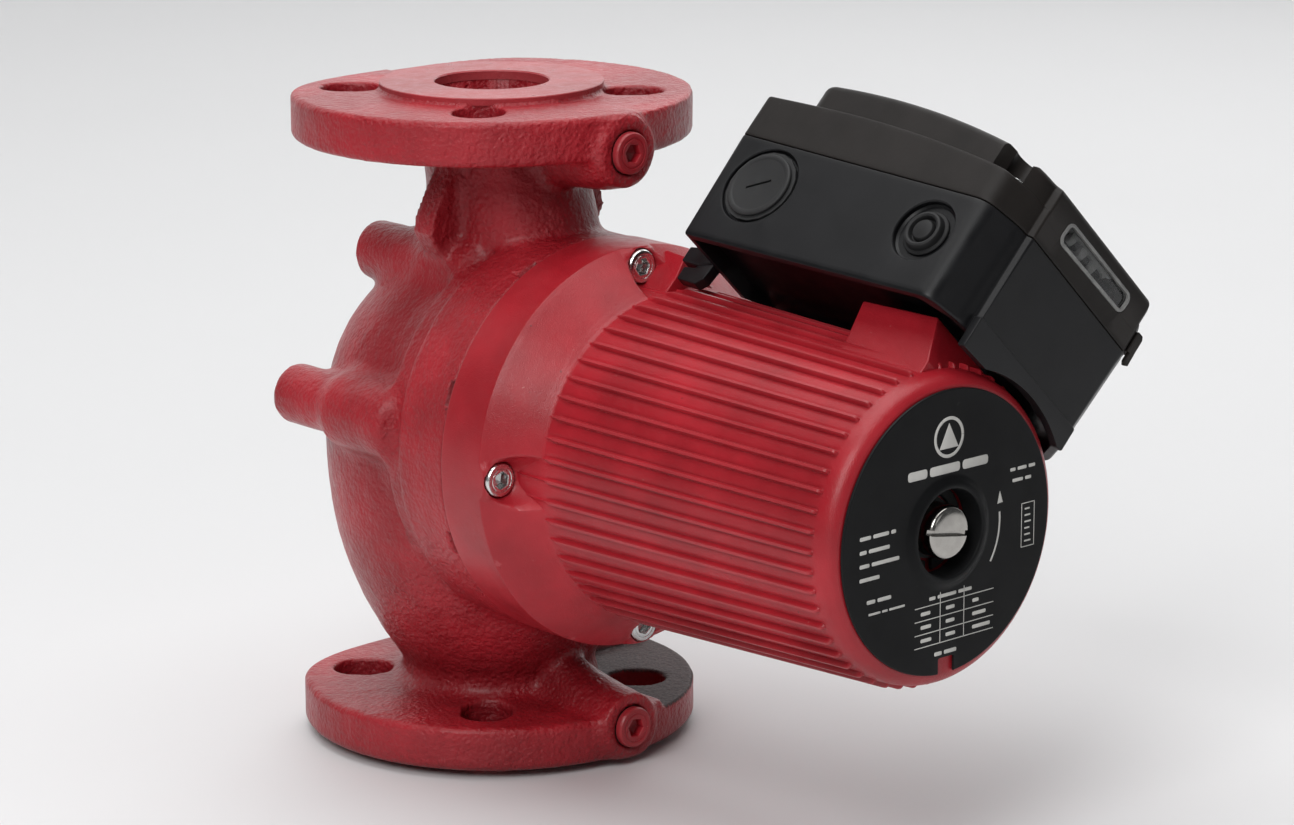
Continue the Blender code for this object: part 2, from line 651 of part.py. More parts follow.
def build_box_base(stator):
    base = mesh("terminal_box_base", prism(OUTLINE, BASE_LOW, seam, BASE_TAPER), BOX, BLACK)
    # hollows above and below the floor
    cut(base, prism(INNER, FLOOR_TOP, 120, shrink_low=4.8, shrink_high=4.0), BOX)
    cut(base, prism(INNER, 40, FLOOR_UNDER, shrink_low=4.4, shrink_high=4.4), BOX)
    # two hooks at the rear that grip the rear pad
    hook = [(101.6, 52), (106, 50), (114, 57), (114, 66), (108, 64), (106, 57), (101.6, 57)]
    for across in (-49.4, 32.6):
        add(base, prism(hook, across, across + 7), BOX_SIDE)
    # bolting tongues on the front pad, with holes through into the pad
    for across in BOX_SCREWS_ACROSS:
        place = (BOX_SCREW_ALONG, across)
        add(base, prism(rectangle(196, 215, 57.9, 62.8), across - 7, across + 7), BOX_SIDE)
        cut(base, cylinder(BOX_SCREW_HOLE_R, 50, 70, 12, place), BOX)
        cut(stator, cylinder(BOX_SCREW_HOLE_R, 46, 64, 12, place), BOX)
    cut(base, cylinder(9.0, 50, 70, 12, CABLE_PLACE), BOX)
    # apron of the front wall, arched by the next cut
    add(base, prism([(-41, 50), (26, 52.5), (26, 60), (-41, 60)], 236.6, 239.6), BOX_FRONT)
    # room for the motor barrel under the box
    clearance = RIB_H + 0.8
    cut(base, revolve([
        (0, 90), (barrel(90) + clearance, 90), (barrel(240) + clearance, 240), (0, 240),
    ], 48), MOTOR)
    # stepped openings in the side wall for the large plug and the small one
    cut(base, revolve([
        (0, -10), (11.6, -10), (11.6, -1.6), (15.4, -1.6), (15.4, 5), (0, 5),
    ], 18), LARGE_OPENING)
    cut(base, revolve([
        (0, -10), (5.2, -10), (5.2, -2.0), (7.4, -2.0), (7.6, -0.9), (12.0, -0.9),
        (12.0, 5), (0, 5),
    ], 14), SMALL_OPENING)
    return base


def build_wall_plugs():
    plug = mesh("cable_plug", revolve([
        (0, -9), (10.6, -9), (11.1, -8.4), (11.1, 0.0), (13.2, 0.0), (13.2, 1.0),
        (12.8, 1.4), (0, 1.4),
    ], 18), LARGE_OPENING, BLACK)
    turned = LARGE_OPENING @ Matrix.Rotation(math.radians(28), 4, "Z")
    cut(plug, prism(rectangle(-4.6, 4.6, -0.7, 0.7), 0.2, 5), turned)
    mesh("cable_plug_seal", tube(11.5, 14.4, -1.3, -0.3, 18), LARGE_OPENING, RUBBER)
    mesh("wire_grommet", revolve([
        (0, -5), (3.6, -5), (4.9, -3.4), (4.9, -1.6), (7.0, -1.6), (7.0, 0.4),
        (5.4, 1.0), (5.0, 0.2), (0, 0.2),
    ], 14), SMALL_OPENING, RUBBER)


def build_box_gasket(base):
    """The gasket between base and lid, and the step it lies on in the base."""
    low, high = offset_height(seam, -0.7), offset_height(seam, 1.6)
    gasket = mesh("box_gasket", prism(INNER, low, high, 2.2, 2.2), BOX, RUBBER)
    cut(gasket, prism(INNER, 60, 120, 3.7, 3.7), BOX)
    step_low, step_high = offset_height(seam, -1.0), offset_height(seam, 5)
    cut(base, prism(INNER, step_low, step_high, 1.9, 1.9), BOX)


def build_lid():
    """A stepped, crowned cover with a window in its front."""
    outer = crowned(OUTLINE, offset_height(seam, GAP), ledge)
    lid = mesh("terminal_box_lid", outer, BOX, BLACK)
    add(lid, crowned(RAISED, 104.0, crown), BOX)
    cut(lid, crowned(inset(INNER, 4.1), 85.0, offset_height(ledge, -LID_WALL)), BOX)
    cut(lid, crowned(inset(RAISED_INNER, 4.6), 98.0, offset_height(crown, -LID_WALL)), BOX)
    # recess inside the rim, over the gasket
    cut(lid, prism(INNER, 80, offset_height(seam, 1.9), 1.8, 1.8), BOX)
    # the window's opening and its pane
    opening = [(-30, 102.6), (14.7, 103.9), (15.5, 111.9), (-29.1, 111.6)]
    pane = [(-29.6, 103.0), (14.3, 104.4), (15.0, 111.4), (-28.7, 111.4)]
    cut(lid, prism(opening, 225, 250), BOX_FRONT)
    mesh("lid_window", prism(pane, 236.6, 239.4), BOX_FRONT, CLEAR)
    return lid


def build_lid_screws(lid, base):
    for number, place in enumerate(LID_SCREWS, 1):
        along, across = place
        top, joint = ledge(along), seam(along)
        # post in the lid that guides the screw, with its bore and head recess
        add(lid, cylinder(5.0, joint + 2.3, top - 1.0, 12, place), BOX)
        cut(lid, revolve([
            (0, 90), (2.5, 90), (2.5, top - 3.4), (4.9, top - 3.4), (4.9, 140), (0, 140),
        ], 12, place), BOX)
        # post in the base that takes the screw
        add(base, cylinder(4.2, 62, joint - 1.2, 12, place), BOX)
        cut(base, cylinder(2.5, 74, 120, 12, place), BOX)
        screw = mesh(f"lid_screw_{number}", revolve([
            (0, 80), (1.9, 80), (2.1, 80.6), (2.1, top - 3.1), (4.5, top - 3.1),
            (4.5, top - 0.9), (3.9, top - 0.3), (0, top - 0.3),
        ], 12, place), BOX, ZINC, origin=(along, across, top))
        slot = rectangle(along - 6, along + 6, across - 0.5, across + 0.5)
        cut(screw, prism(slot, top - 1.7, 140), BOX)


# ---- inside the terminal box ----
def build_terminals():
    block = prism(rectangle(118.5, 133, -36, 28), PARTS_SEAT, 79.0)
    mesh("terminal_block", block, BOX, GREY)
    for number, across in enumerate((-28, -12, 4, 20), 1):
        screw = cylinder(3.2, 79.3, 81.3, 12, (125.7, across))
        mesh(f"terminal_screw_{number}", screw, BOX, BRASS)


def build_contact_module():
    """A U-shaped module with a pocket, and the switch that stands in it."""
    module = mesh("contact_module", prism([
        (138, -38), (196, -38), (196, -13), (168, -13),
        (168, 13), (196, 13), (196, 30), (138, 30),
    ], PARTS_SEAT, 86.0), BOX, GREY)
    cut(module, prism(rectangle(141, 165, -24, 16), 80.0, 100), BOX)
    switch = prism(rectangle(141.6, 164.4, -23.4, 15.4), 80.5, 103.0, shrink_high=1.2)
    mesh("speed_switch", switch, BOX, BLUE)


def build_floor_parts():
    mesh("earth_screw", cylinder(3.6, PARTS_SEAT, 67.6, 12, (222, -4)), BOX, BRASS)
    mesh("cable_grommet", revolve([
        (4.0, 59.0), (8.4, 59.0), (8.4, PARTS_SEAT), (10.6, PARTS_SEAT),
        (10.6, 66.6), (4.0, 66.6),
    ], 12, CABLE_PLACE), BOX, RUBBER)
    section = polygon(3.6, 14, phase=160.388, centre=CABLE_PLACE)
    rings = [[(x, y, out) for x, y in section] for out in (51.0, 58, 66, 78)]
    mesh("lead_cable", loft(rings), BOX, DARK)
    for number, across in enumerate(BOX_SCREWS_ACROSS, 1):
        mesh(f"box_screw_{number}", revolve([
            (0, 49), (2.0, 49), (2.0, 64.7), (4.4, 64.7), (4.4, 67.3), (0, 67.3),
        ], 12, (BOX_SCREW_ALONG, across)), BOX, ZINC)


# ---- build: the order sets the turning angles and the helper numbers ----
build_housing()
build_pump_inside()
stator_housing = build_stator_housing()
build_stator_pack()
build_nameplate()
build_housing_screws()
build_gauge_plugs()
build_vent_screw()
box_base = build_box_base(stator_housing)
build_wall_plugs()
build_box_gasket(box_base)
box_lid = build_lid()
build_lid_screws(box_lid, box_base)
build_terminals()
build_contact_module()
build_floor_parts()
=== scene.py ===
"""Looks of a circulator pump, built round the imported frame.

The pipe stands upright through (0, PIPE_Y), from z = 0 to z = TOP. The motor's axis crosses it
at height MOTOR_Z and runs forwards, along -y. The terminal box sits on the upper right of the
motor, turned by 45 degrees. Lengths are millimetres until place() turns them into metres.
"""

import math

import bmesh
import bpy
import numpy as np
import openvdb as vdb
from mathutils import Matrix, Vector


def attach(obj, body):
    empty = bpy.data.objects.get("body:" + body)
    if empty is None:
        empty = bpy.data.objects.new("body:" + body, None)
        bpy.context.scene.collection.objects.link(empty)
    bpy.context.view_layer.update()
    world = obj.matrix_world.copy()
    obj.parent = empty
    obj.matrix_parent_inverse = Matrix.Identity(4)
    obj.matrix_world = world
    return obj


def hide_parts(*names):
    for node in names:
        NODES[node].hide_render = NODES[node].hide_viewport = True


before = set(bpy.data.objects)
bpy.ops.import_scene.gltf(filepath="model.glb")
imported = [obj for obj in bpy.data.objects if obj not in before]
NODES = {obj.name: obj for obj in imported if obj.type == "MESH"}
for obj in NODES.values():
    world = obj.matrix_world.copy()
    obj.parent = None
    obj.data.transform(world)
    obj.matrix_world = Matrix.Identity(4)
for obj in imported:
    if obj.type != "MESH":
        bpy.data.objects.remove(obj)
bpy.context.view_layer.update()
ROOT = "pump"

PIPE_Y, MOTOR_Z, TOP = 31.0, 124.0, 250.0
QUARTERS = (0, 90, 180, 270)
SCREW_CIRCLE = 67.8  # radius on which the four motor screws stand
GAUGE_HEIGHTS = {"lower": 15.0, "upper": 232.7}
FLANGE_NEAR, FLANGE_FAR = 3.0, 19.7  # a flange's two sides, from the pipe's end
MACHINED_FLOOR = 16.9  # height of the cut seat on the lower flange
C45 = math.sqrt(0.5)


def axes(*rows):
    return Matrix((*rows, (0, 0, 0, 1)))


# x right, y up, z forwards from the pipe axis
MOTOR = axes((1, 0, 0, 0), (0, 0, -1, PIPE_Y), (0, 1, 0, MOTOR_Z))
# x forwards, y down to the right, z out of the motor, up to the right
BOX = axes((0, C45, C45, 0), (-1, 0, 0, PIPE_Y), (0, -C45, C45, MOTOR_Z))
# the box seen from the front: x is its y, y its z, z forwards
FRONT = BOX @ axes((0, 0, 1, 0), (1, 0, 0, 0), (0, 1, 0, 0))
# the box seen from the side: x forwards, y is its z, z its y
SIDE = BOX @ axes((1, 0, 0, 0), (0, 0, 1, 0), (0, 1, 0, 0))
# x right, y forwards from the pipe axis, z up
HOUSE = axes((1, 0, 0, 0), (0, -1, 0, PIPE_Y), (0, 0, 1, 0))


# =============================================================== mesh helpers
def place(points, where):
    matrix = np.array(where, float)
    return (np.asarray(points, float) @ matrix[:3, :3].T + matrix[:3, 3]) * 0.001


def mark_sharp(mesh, degrees):
    bm = bmesh.new()
    bm.from_mesh(mesh)
    limit = math.radians(degrees)
    for face in bm.faces:
        face.smooth = True
    for edge in bm.edges:
        edge.smooth = len(edge.link_faces) == 2 and edge.calc_face_angle(0.0) < limit
    bm.to_mesh(mesh)
    bm.free()


def link_object(name, mesh):
    obj = bpy.data.objects.new(name, mesh)
    bpy.context.scene.collection.objects.link(obj)
    return obj


def solid(name, verts, faces, where, sharp=32):
    """A closed mesh object with its faces turned outwards, and sharp edges above an angle."""
    mesh = bpy.data.meshes.new(name)
    mesh.from_pydata(place(verts, where).tolist(), [], [list(map(int, f)) for f in faces])
    bm = bmesh.new()
    bm.from_mesh(mesh)
    bmesh.ops.remove_doubles(bm, verts=bm.verts, dist=1e-6)
    bmesh.ops.recalc_face_normals(bm, faces=bm.faces)
    if bm.calc_volume(signed=True) < 0:
        bmesh.ops.reverse_faces(bm, faces=bm.faces)
    bm.to_mesh(mesh)
    bm.free()
    obj = link_object(name, mesh)
    if sharp:
        mark_sharp(mesh, sharp)
    return obj


def apply_modifiers(obj):
    graph = bpy.context.evaluated_depsgraph_get()
    graph.update()
    done = bpy.data.meshes.new_from_object(obj.evaluated_get(graph))
    obj.modifiers.clear()
    old, obj.data = obj.data, done
    bpy.data.meshes.remove(old)


def weigh_normals(obj):
    """Lets the large flat faces set the shading of the small ones round them."""
    modifier = obj.modifiers.new("weigh", "WEIGHTED_NORMAL")
    modifier.keep_sharp = True
    modifier.weight = 60
    apply_modifiers(obj)


def finish_piece(obj, body, look, slot, *nodes, sharp=None):
    if sharp:
        mark_sharp(obj.data, sharp)
        weigh_normals(obj)
    obj.data.materials.clear()
    obj.data.materials.append(look)
    if nodes:
        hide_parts(*nodes)
    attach(obj, body)


def boolean(obj, tools, how="DIFFERENCE", solver="EXACT"):
    """Cuts or joins every tool, then throws the tools away."""
    for tool in tools:
        modifier = obj.modifiers.new("b", "BOOLEAN")
        modifier.operation = how
        modifier.solver = solver
        modifier.object = tool
    apply_modifiers(obj)
    for tool in tools:
        bpy.data.objects.remove(tool, do_unlink=True)
    bm = bmesh.new()
    bm.from_mesh(obj.data)
    bmesh.ops.remove_doubles(bm, verts=bm.verts, dist=2e-6)
    bmesh.ops.dissolve_degenerate(bm, dist=2e-6, edges=bm.edges)
    bm.to_mesh(obj.data)
    bm.free()


def join(name, parts):
    """One object from several, with their meshes side by side."""
    bm = bmesh.new()
    for part in parts:
        bm.from_mesh(part.data)
    mesh = bpy.data.meshes.new(name)
    bm.to_mesh(mesh)
    bm.free()
    for part in parts:
        bpy.data.objects.remove(part, do_unlink=True)
    return link_object(name, mesh)


def vertex_columns(obj):
    """x, y and z of the vertices, in millimetres."""
    flat = np.empty(len(obj.data.vertices) * 3, np.float32)
    obj.data.vertices.foreach_get("co", flat)
    return (flat.reshape(-1, 3) * 1000).T


def add_mask(obj, name, chosen):
    """A point attribute that is 1 on the chosen vertices."""
    attribute = obj.data.attributes.new(name, "FLOAT", "POINT")
    attribute.data.foreach_set("value", chosen.astype(np.float32))


# ------------------------------------------------------------------- outlines
def around(radius, degrees, cx=0, cy=0):
    angle = math.radians(degrees)
    return cx + radius * math.cos(angle), cy + radius * math.sin(angle)


def arc(cx, cy, radius, start, end, steps):
    return [around(radius, start + (end - start) * i / steps, cx, cy) for i in range(steps + 1)]


def rectangle(x0, y0, x1, y1):
    return [(x0, y0), (x1, y0), (x1, y1), (x0, y1)]


def rounded(outline, radius, steps=6):
    """A polygon with its corners turned into arcs, by one radius or by a list of them."""
    count, out = len(outline), []
    radii = radius if isinstance(radius, (list, tuple)) else [radius] * count
    for i in range(count):
        before, corner, after = (np.array(outline[(i + k - 1) % count], float) for k in range(3))
        back, ahead = before - corner, after - corner
        back_length, ahead_length = np.linalg.norm(back), np.linalg.norm(ahead)
        back, ahead = back / back_length, ahead / ahead_length
        half = math.acos(float(np.clip(back @ ahead, -1, 1))) / 2
        if radii[i] < 1e-6 or half > math.radians(89):
            out.append(tuple(corner))
            continue
        reach = min(radii[i] / math.tan(half), 0.48 * back_length, 0.48 * ahead_length)
        bend = reach * math.tan(half)
        inward = (back + ahead) / np.linalg.norm(back + ahead)
        middle = corner + inward * (bend / math.sin(half))
        start, end = corner + back * reach - middle, corner + ahead * reach - middle
        first = math.atan2(start[1], start[0])
        turn = (math.atan2(end[1], end[0]) - first + math.pi) % (2 * math.pi) - math.pi
        pieces = max(1, int(round(steps * abs(turn) / (math.pi / 2))))
        for k in range(pieces + 1):
            angle = first + turn * k / pieces
            out.append((middle[0] + bend * math.cos(angle), middle[1] + bend * math.sin(angle)))
    return out


def signed_area(p):
    return 0.5 * np.sum(p[:, 0] * np.roll(p[:, 1], -1) - np.roll(p[:, 0], -1) * p[:, 1])


def offset(points, inset):
    """The outline moved inwards by inset, each point along its mitre."""
    points = np.array(points, float)
    edges = np.roll(points, -1, 0) - points
    edges /= np.linalg.norm(edges, axis=1)[:, None] + 1e-12
    side = 1 if signed_area(points) > 0 else -1
    normal = np.stack([-edges[:, 1], edges[:, 0]], 1) * side
    mitre = normal + np.roll(normal, 1, 0)
    mitre /= np.maximum((mitre * normal).sum(1), 0.35)[:, None]
    return points + mitre * inset


class Corners:
    """An outline given by corners and their radii, which stays well rounded when it is inset."""

    def __init__(self, corners, radii, steps):
        self.corners, self.radii, self.steps = np.array(corners, float), radii, steps
        points = self.corners
        before, after = points - np.roll(points, 1, 0), np.roll(points, -1, 0) - points
        cross = before[:, 0] * after[:, 1] - before[:, 1] * after[:, 0]
        self.convex = cross * signed_area(points) > 0
        turned = self.turned(0.0)
        self.pieces = [
            max(1, math.ceil(np.linalg.norm(end - start) / 4.5))
            for start, end in zip(turned, np.roll(turned, -1, 0))
        ]

    def turned(self, inset):
        radii = [
            max(0.08, radius - inset if convex else radius + inset)
            for radius, convex in zip(self.radii, self.convex)
        ]
        return np.array(rounded(offset(self.corners, inset), radii, self.steps))

    def at(self, inset):
        """The rounded outline, its long edges cut up the same way at every inset."""
        turned = self.turned(inset)
        edges = zip(turned, np.roll(turned, -1, 0), self.pieces)
        return np.array([
            start + (end - start) * k / pieces for start, end, pieces in edges for k in range(pieces)
        ])


# --------------------------------------------------------------------- solids
def lathe(name, profile, where, segments, centre=(0, 0)):
    """Turns a profile of (radius, z) about z. Ends off the axis are closed into a ring."""
    verts, rings = [], []
    for radius, z in profile:
        if radius < 1e-9:
            rings.append([len(verts)])
            verts.append((*centre, z))
            continue
        rings.append(list(range(len(verts), len(verts) + segments)))
        for k in range(segments):
            angle = 2 * math.pi * k / segments
            x, y = centre[0] + radius * math.cos(angle), centre[1] + radius * math.sin(angle)
            verts.append((x, y, z))
    if len(rings[0]) > 1 or len(rings[-1]) > 1:
        rings.append(rings[0])
    faces = []
    for low, high in zip(rings, rings[1:]):
        for k in range(segments):
            j = (k + 1) % segments
            if len(low) == 1 and len(high) > 1:
                faces.append((low[0], high[k], high[j]))
            elif len(high) == 1 and len(low) > 1:
                faces.append((low[k], low[j], high[0]))
            elif len(low) > 1:
                faces.append((low[k], low[j], high[j], high[k]))
    return solid(name, verts, faces, where)


def cylinder(radius, low, high, where, segments, centre):
    profile = [(0, low), (radius, low), (radius, high), (0, high)]
    return lathe("cylinder", profile, where, segments, centre)


def loft(name, outline, levels, where, sharp=32, rings=1):
    """A solid from an outline taken through levels of (height, inset).

    A height is a number or a function of x. Each end is one face, or rings of faces that close
    on the middle.
    """
    inset_by = outline.at if isinstance(outline, Corners) else lambda by: offset(outline, by)
    count = len(inset_by(0.0))
    verts, faces = [], []

    def add_ring(points, height):
        start = len(verts)
        if callable(height):
            heights = [height(x) for x in points[:, 0]]
        else:
            heights = np.full(len(points), float(height))
        verts.extend(np.column_stack([points, heights]))
        return start

    def bridge(low, high):
        for i in range(count):
            j = (i + 1) % count
            faces.append((low + i, low + j, high + j, high + i))

    starts = [add_ring(inset_by(inset), height) for height, inset in levels]
    for low, high in zip(starts, starts[1:]):
        bridge(low, high)
    for end in (0, -1):
        last = starts[end]
        if rings == 1:
            faces.append(tuple(range(last, last + count)))
            continue
        height, inset = levels[end]
        points = inset_by(inset)
        middle = 0.5 * (points.max(0) + points.min(0))
        for k in range(1, rings):
            start = add_ring(middle + (points - middle) * (1 - k / rings), height)
            bridge(last, start)
            last = start
        tip = add_ring(middle[None], height)
        faces += [(last + i, last + (i + 1) % count, tip) for i in range(count)]
    return solid(name, verts, faces, where, sharp)


def cutter(outline, levels, where, rings=1):
    return loft("cut", outline, levels, where, sharp=None, rings=rings)


def slab(name, outline, low, high, where, bevel):
    near = bevel * 0.3
    levels = [(low, bevel), (low + near, near), (low + bevel, 0)]
    levels += [(high - bevel, 0), (high - near, near), (high, bevel)]
    return loft(name, outline, levels, where)


def axes_along(x_axis, y_axis, z_axis):
    return Matrix((x_axis, y_axis, z_axis)).transposed().to_4x4()


def inside(where, point, direction=(0, 0, 1)):
    """A frame at a point of another one, with its z along direction."""
    z_axis = Vector(direction).normalized()
    across = Vector((1, 0, 0))
    x_axis = (across - across.dot(z_axis) * z_axis).normalized()
    return where @ Matrix.Translation(point) @ axes_along(x_axis, z_axis.cross(x_axis), z_axis)


# ================================================================== materials
def scaled(tone, factor, add=0.0):
    return tuple(c * factor + add for c in tone)


class Nodes:
    """A short way to write a node tree. Sizes are millimetres."""

    INPUTS = {
        "color": "Base Color", "rough": "Roughness", "metal": "Metallic", "normal": "Normal",
        "coat": "Coat Weight", "coat_rough": "Coat Roughness", "spec": "Specular IOR Level",
        "glass": "Transmission Weight", "ior": "IOR",
    }

    def __init__(self, name):
        self.material = bpy.data.materials.new(name)
        self.material.use_nodes = True
        self.tree = self.material.node_tree
        self.shader = self.tree.nodes["Principled BSDF"]
        self.where = self.add("ShaderNodeTexCoord").outputs["Object"]

    def add(self, kind, **settings):
        node = self.tree.nodes.new(kind)
        for key, value in settings.items():
            setattr(node, key, value)
        return node

    def put(self, socket, value):
        if isinstance(value, bpy.types.NodeSocket):
            self.tree.links.new(value, socket)
        elif isinstance(value, (tuple, list)) and len(value) == 3 and socket.type == "RGBA":
            socket.default_value = (*value, 1.0)
        else:
            socket.default_value = value

    def ramp(self, value, span, out=(0.0, 1.0)):
        """Maps the values of span to those of out."""
        node = self.add("ShaderNodeMapRange")
        keys = ("Value", "From Min", "From Max", "To Min", "To Max")
        for key, item in zip(keys, (value, *span, *out)):
            self.put(node.inputs[key], item)
        return node.outputs["Result"]

    def noise(self, size, detail, where=None, span=None, out=(0.0, 1.0)):
        """Noise with grains of a size, mapped from span to out if a span is given."""
        node = self.add("ShaderNodeTexNoise")
        self.put(node.inputs["Vector"], where or self.where)
        self.put(node.inputs["Scale"], 1000.0 / size)
        self.put(node.inputs["Detail"], detail)
        self.put(node.inputs["Roughness"], 0.55)
        return self.ramp(node.outputs["Fac"], span, out) if span else node.outputs["Fac"]

    def cells(self, size):
        node = self.add("ShaderNodeTexVoronoi", feature="SMOOTH_F1")
        self.put(node.inputs["Vector"], self.where)
        self.put(node.inputs["Scale"], 1000.0 / size)
        return node.outputs["Distance"]

    def math(self, operation, a, b=0.0):
        node = self.add("ShaderNodeMath", operation=operation)
        self.put(node.inputs[0], a)
        self.put(node.inputs[1], b)
        return node.outputs[0]

    def mix(self, factor, a, b):
        node = self.add("ShaderNodeMix", data_type="RGBA")
        self.put(node.inputs[0], factor)
        self.put(node.inputs[6], a)
        self.put(node.inputs[7], b)
        return node.outputs[2]

    def blend(self, factor, a, b):
        """A number that goes from a to b."""
        first = self.math("MULTIPLY", self.math("SUBTRACT", 1.0, factor), a)
        return self.math("ADD", first, self.math("MULTIPLY", factor, b))

    def bump(self, height, strength, depth, normal=None):
        node = self.add("ShaderNodeBump")
        self.put(node.inputs["Height"], height)
        self.put(node.inputs["Strength"], strength)
        self.put(node.inputs["Distance"], depth * 0.001)
        if normal is not None:
            self.put(node.inputs["Normal"], normal)
        return node.outputs["Normal"]

    def bevel(self, radius):
        node = self.add("ShaderNodeBevel", samples=4)
        self.put(node.inputs["Radius"], radius * 0.001)
        return node.outputs["Normal"]

    def pointiness(self):
        return self.add("ShaderNodeNewGeometry").outputs["Pointiness"]

    def attribute(self, name):
        return self.add("ShaderNodeAttribute", attribute_name=name).outputs["Fac"]

    def set(self, **values):
        for key, value in values.items():
            self.put(self.shader.inputs[self.INPUTS[key]], value)
        return self.material


def red_paint(name, peel, grain, rough, tone, cast=False):
    """Semi-gloss red paint. peel is the depth of its orange peel, grain that of fine speckle."""
    mat = Nodes(name)
    broad = mat.noise(size=34, detail=3)
    patch = mat.noise(size=7, detail=4)
    light = (tone[0] * 1.13, tone[1] * 1.35, tone[2] * 1.3)
    color = mat.mix(mat.ramp(broad, span=(0.35, 0.68)), scaled(tone, 0.74), light)
    patches = mat.ramp(patch, span=(0.42, 0.75), out=(0.0, 0.35))
    color = mat.mix(patches, color, scaled(tone, 0.85))
    # painted highlight: the paint is lighter and pinker on convex edges, by pointiness
    point = mat.pointiness()
    free = mat.math("SUBTRACT", 1.0, mat.attribute("flat"))
    edge_span = (0.535, 0.64) if cast else (0.515, 0.60)
    edges = mat.math("MULTIPLY", free, mat.ramp(point, span=edge_span, out=(0.0, 0.30)))
    color = mat.mix(edges, color, (0.56, 0.16, 0.17))
    # painted shade: the paint is darker in concave corners and creases, by pointiness
    corners = mat.math("MULTIPLY", free, mat.ramp(point, span=(0.49, 0.40), out=(0.0, 0.55)))
    color = mat.mix(corners, color, (0.12, 0.006, 0.009))
    if cast:
        # painted shade: the paint is darkened in the hollows of the casting, by ambient occlusion
        hollow = mat.add("ShaderNodeAmbientOcclusion", samples=4)
        mat.put(hollow.inputs["Distance"], 0.030)
        shade = mat.ramp(hollow.outputs["AO"], span=(0.35, 0.95), out=(0.55, 0.0))
        color = mat.mix(shade, color, scaled(tone, 0.30))
    specks = mat.noise(size=1.7, detail=2, span=(0.76, 0.80), out=(0.0, 0.5))
    color = mat.mix(specks, color, (0.55, 0.24, 0.22))
    pores = mat.noise(size=2.6, detail=2, span=(0.245, 0.215), out=(0.0, 0.65))
    color = mat.mix(pores, color, (0.05, 0.004, 0.005))
    height = mat.math("MULTIPLY", mat.cells(size=1.75), 0.9 * peel)
    for size, detail, depth in ((1.15, 3, 0.9 * peel), (5.5, 2, 1.5 * peel), (0.42, 2, grain)):
        layer = mat.math("MULTIPLY", mat.noise(size, detail), depth)
        height = mat.math("ADD", height, layer)
    normal = mat.bump(height, strength=1.0, depth=0.62 if cast else 0.42)
    roughness = mat.noise(size=4.0, detail=4, span=(0.3, 0.75), out=(rough - 0.06, rough + 0.09))
    if cast:
        # sandy metal where the casting is machined
        mask = mat.attribute("bare")
        grit = mat.noise(size=0.9, detail=3, span=(0.3, 0.7))
        sand = mat.mix(grit, (0.030, 0.013, 0.014), (0.10, 0.060, 0.058))
        color = mat.mix(mask, color, sand)
        roughness = mat.blend(mask, roughness, 0.8)
    return mat.set(
        color=color, rough=roughness, normal=normal, coat=0.16, coat_rough=0.22, spec=0.34
    )


def plastic(name, tone, rough, grain, size, edge=0.35, spec=0.30):
    """Grained plastic. grain and size are the grain's depth and width, edge the edge wear."""
    mat = Nodes(name)
    shade = mat.noise(size=26, detail=4, span=(0.3, 0.7))
    color = mat.mix(shade, scaled(tone, 0.8), scaled(tone, 1.2, 0.001))
    dust = mat.noise(size=2.2, detail=3, span=(0.71, 0.78), out=(0.0, 0.28))
    color = mat.mix(dust, color, scaled(tone, 2.2, 0.02))
    worn = mat.ramp(mat.pointiness(), span=(0.52, 0.62), out=(0.0, edge))
    color = mat.mix(worn, color, scaled(tone, 2.4, 0.03))
    fine = mat.math("MULTIPLY", mat.noise(size, detail=2), 0.7)
    coarse = mat.math("MULTIPLY", mat.noise(size * 7, detail=2), 0.3)
    height = mat.math("ADD", fine, coarse)
    normal = mat.bump(height, strength=grain, depth=0.06, normal=mat.bevel(0.25))
    roughness = mat.noise(size=9, detail=4, span=(0.3, 0.7), out=(rough - 0.05, rough + 0.07))
    return mat.set(color=color, rough=roughness, normal=normal, spec=spec)


def metal(name, tone, rough, scratch, turned=False):
    """Scratched metal, with turning marks round the motor axis if it is turned."""
    mat = Nodes(name)
    blot = mat.noise(size=3.2, detail=4, span=(0.35, 0.7))
    color = mat.mix(blot, scaled(tone, 0.86), tone)
    # painted shade: darker in concave places, by pointiness
    cavity_shade = mat.ramp(mat.pointiness(), span=(0.49, 0.42), out=(0.0, 0.3))
    color = mat.mix(cavity_shade, color, scaled(tone, 0.25))
    where = mat.where
    if turned:
        # noise over radius and depth alone comes out as circles
        split = mat.add("ShaderNodeSeparateXYZ")
        mat.put(split.inputs[0], mat.where)
        across = mat.math("SUBTRACT", split.outputs[0], 0.0)
        above = mat.math("SUBTRACT", split.outputs[2], MOTOR_Z * 0.001)
        squares = [mat.math("MULTIPLY", side, side) for side in (across, above)]
        radius = mat.math("SQRT", mat.math("ADD", *squares))
        both = mat.add("ShaderNodeCombineXYZ")
        mat.put(both.inputs[0], radius)
        mat.put(both.inputs[1], mat.math("MULTIPLY", split.outputs[1], 1.0))
        where = both.outputs[0]
    lines = mat.math("MULTIPLY", mat.noise(size=0.30, detail=2, where=where), scratch)
    spots = mat.math("MULTIPLY", mat.noise(size=0.7, detail=3), scratch * 0.8)
    height = mat.math("ADD", lines, spots)
    normal = mat.bump(height, strength=0.35, depth=0.05, normal=mat.bevel(0.18))
    roughness = mat.noise(size=1.4, detail=4, span=(0.3, 0.75), out=(rough - 0.05, rough + 0.11))
    return mat.set(color=color, rough=roughness, metal=1.0, normal=normal)


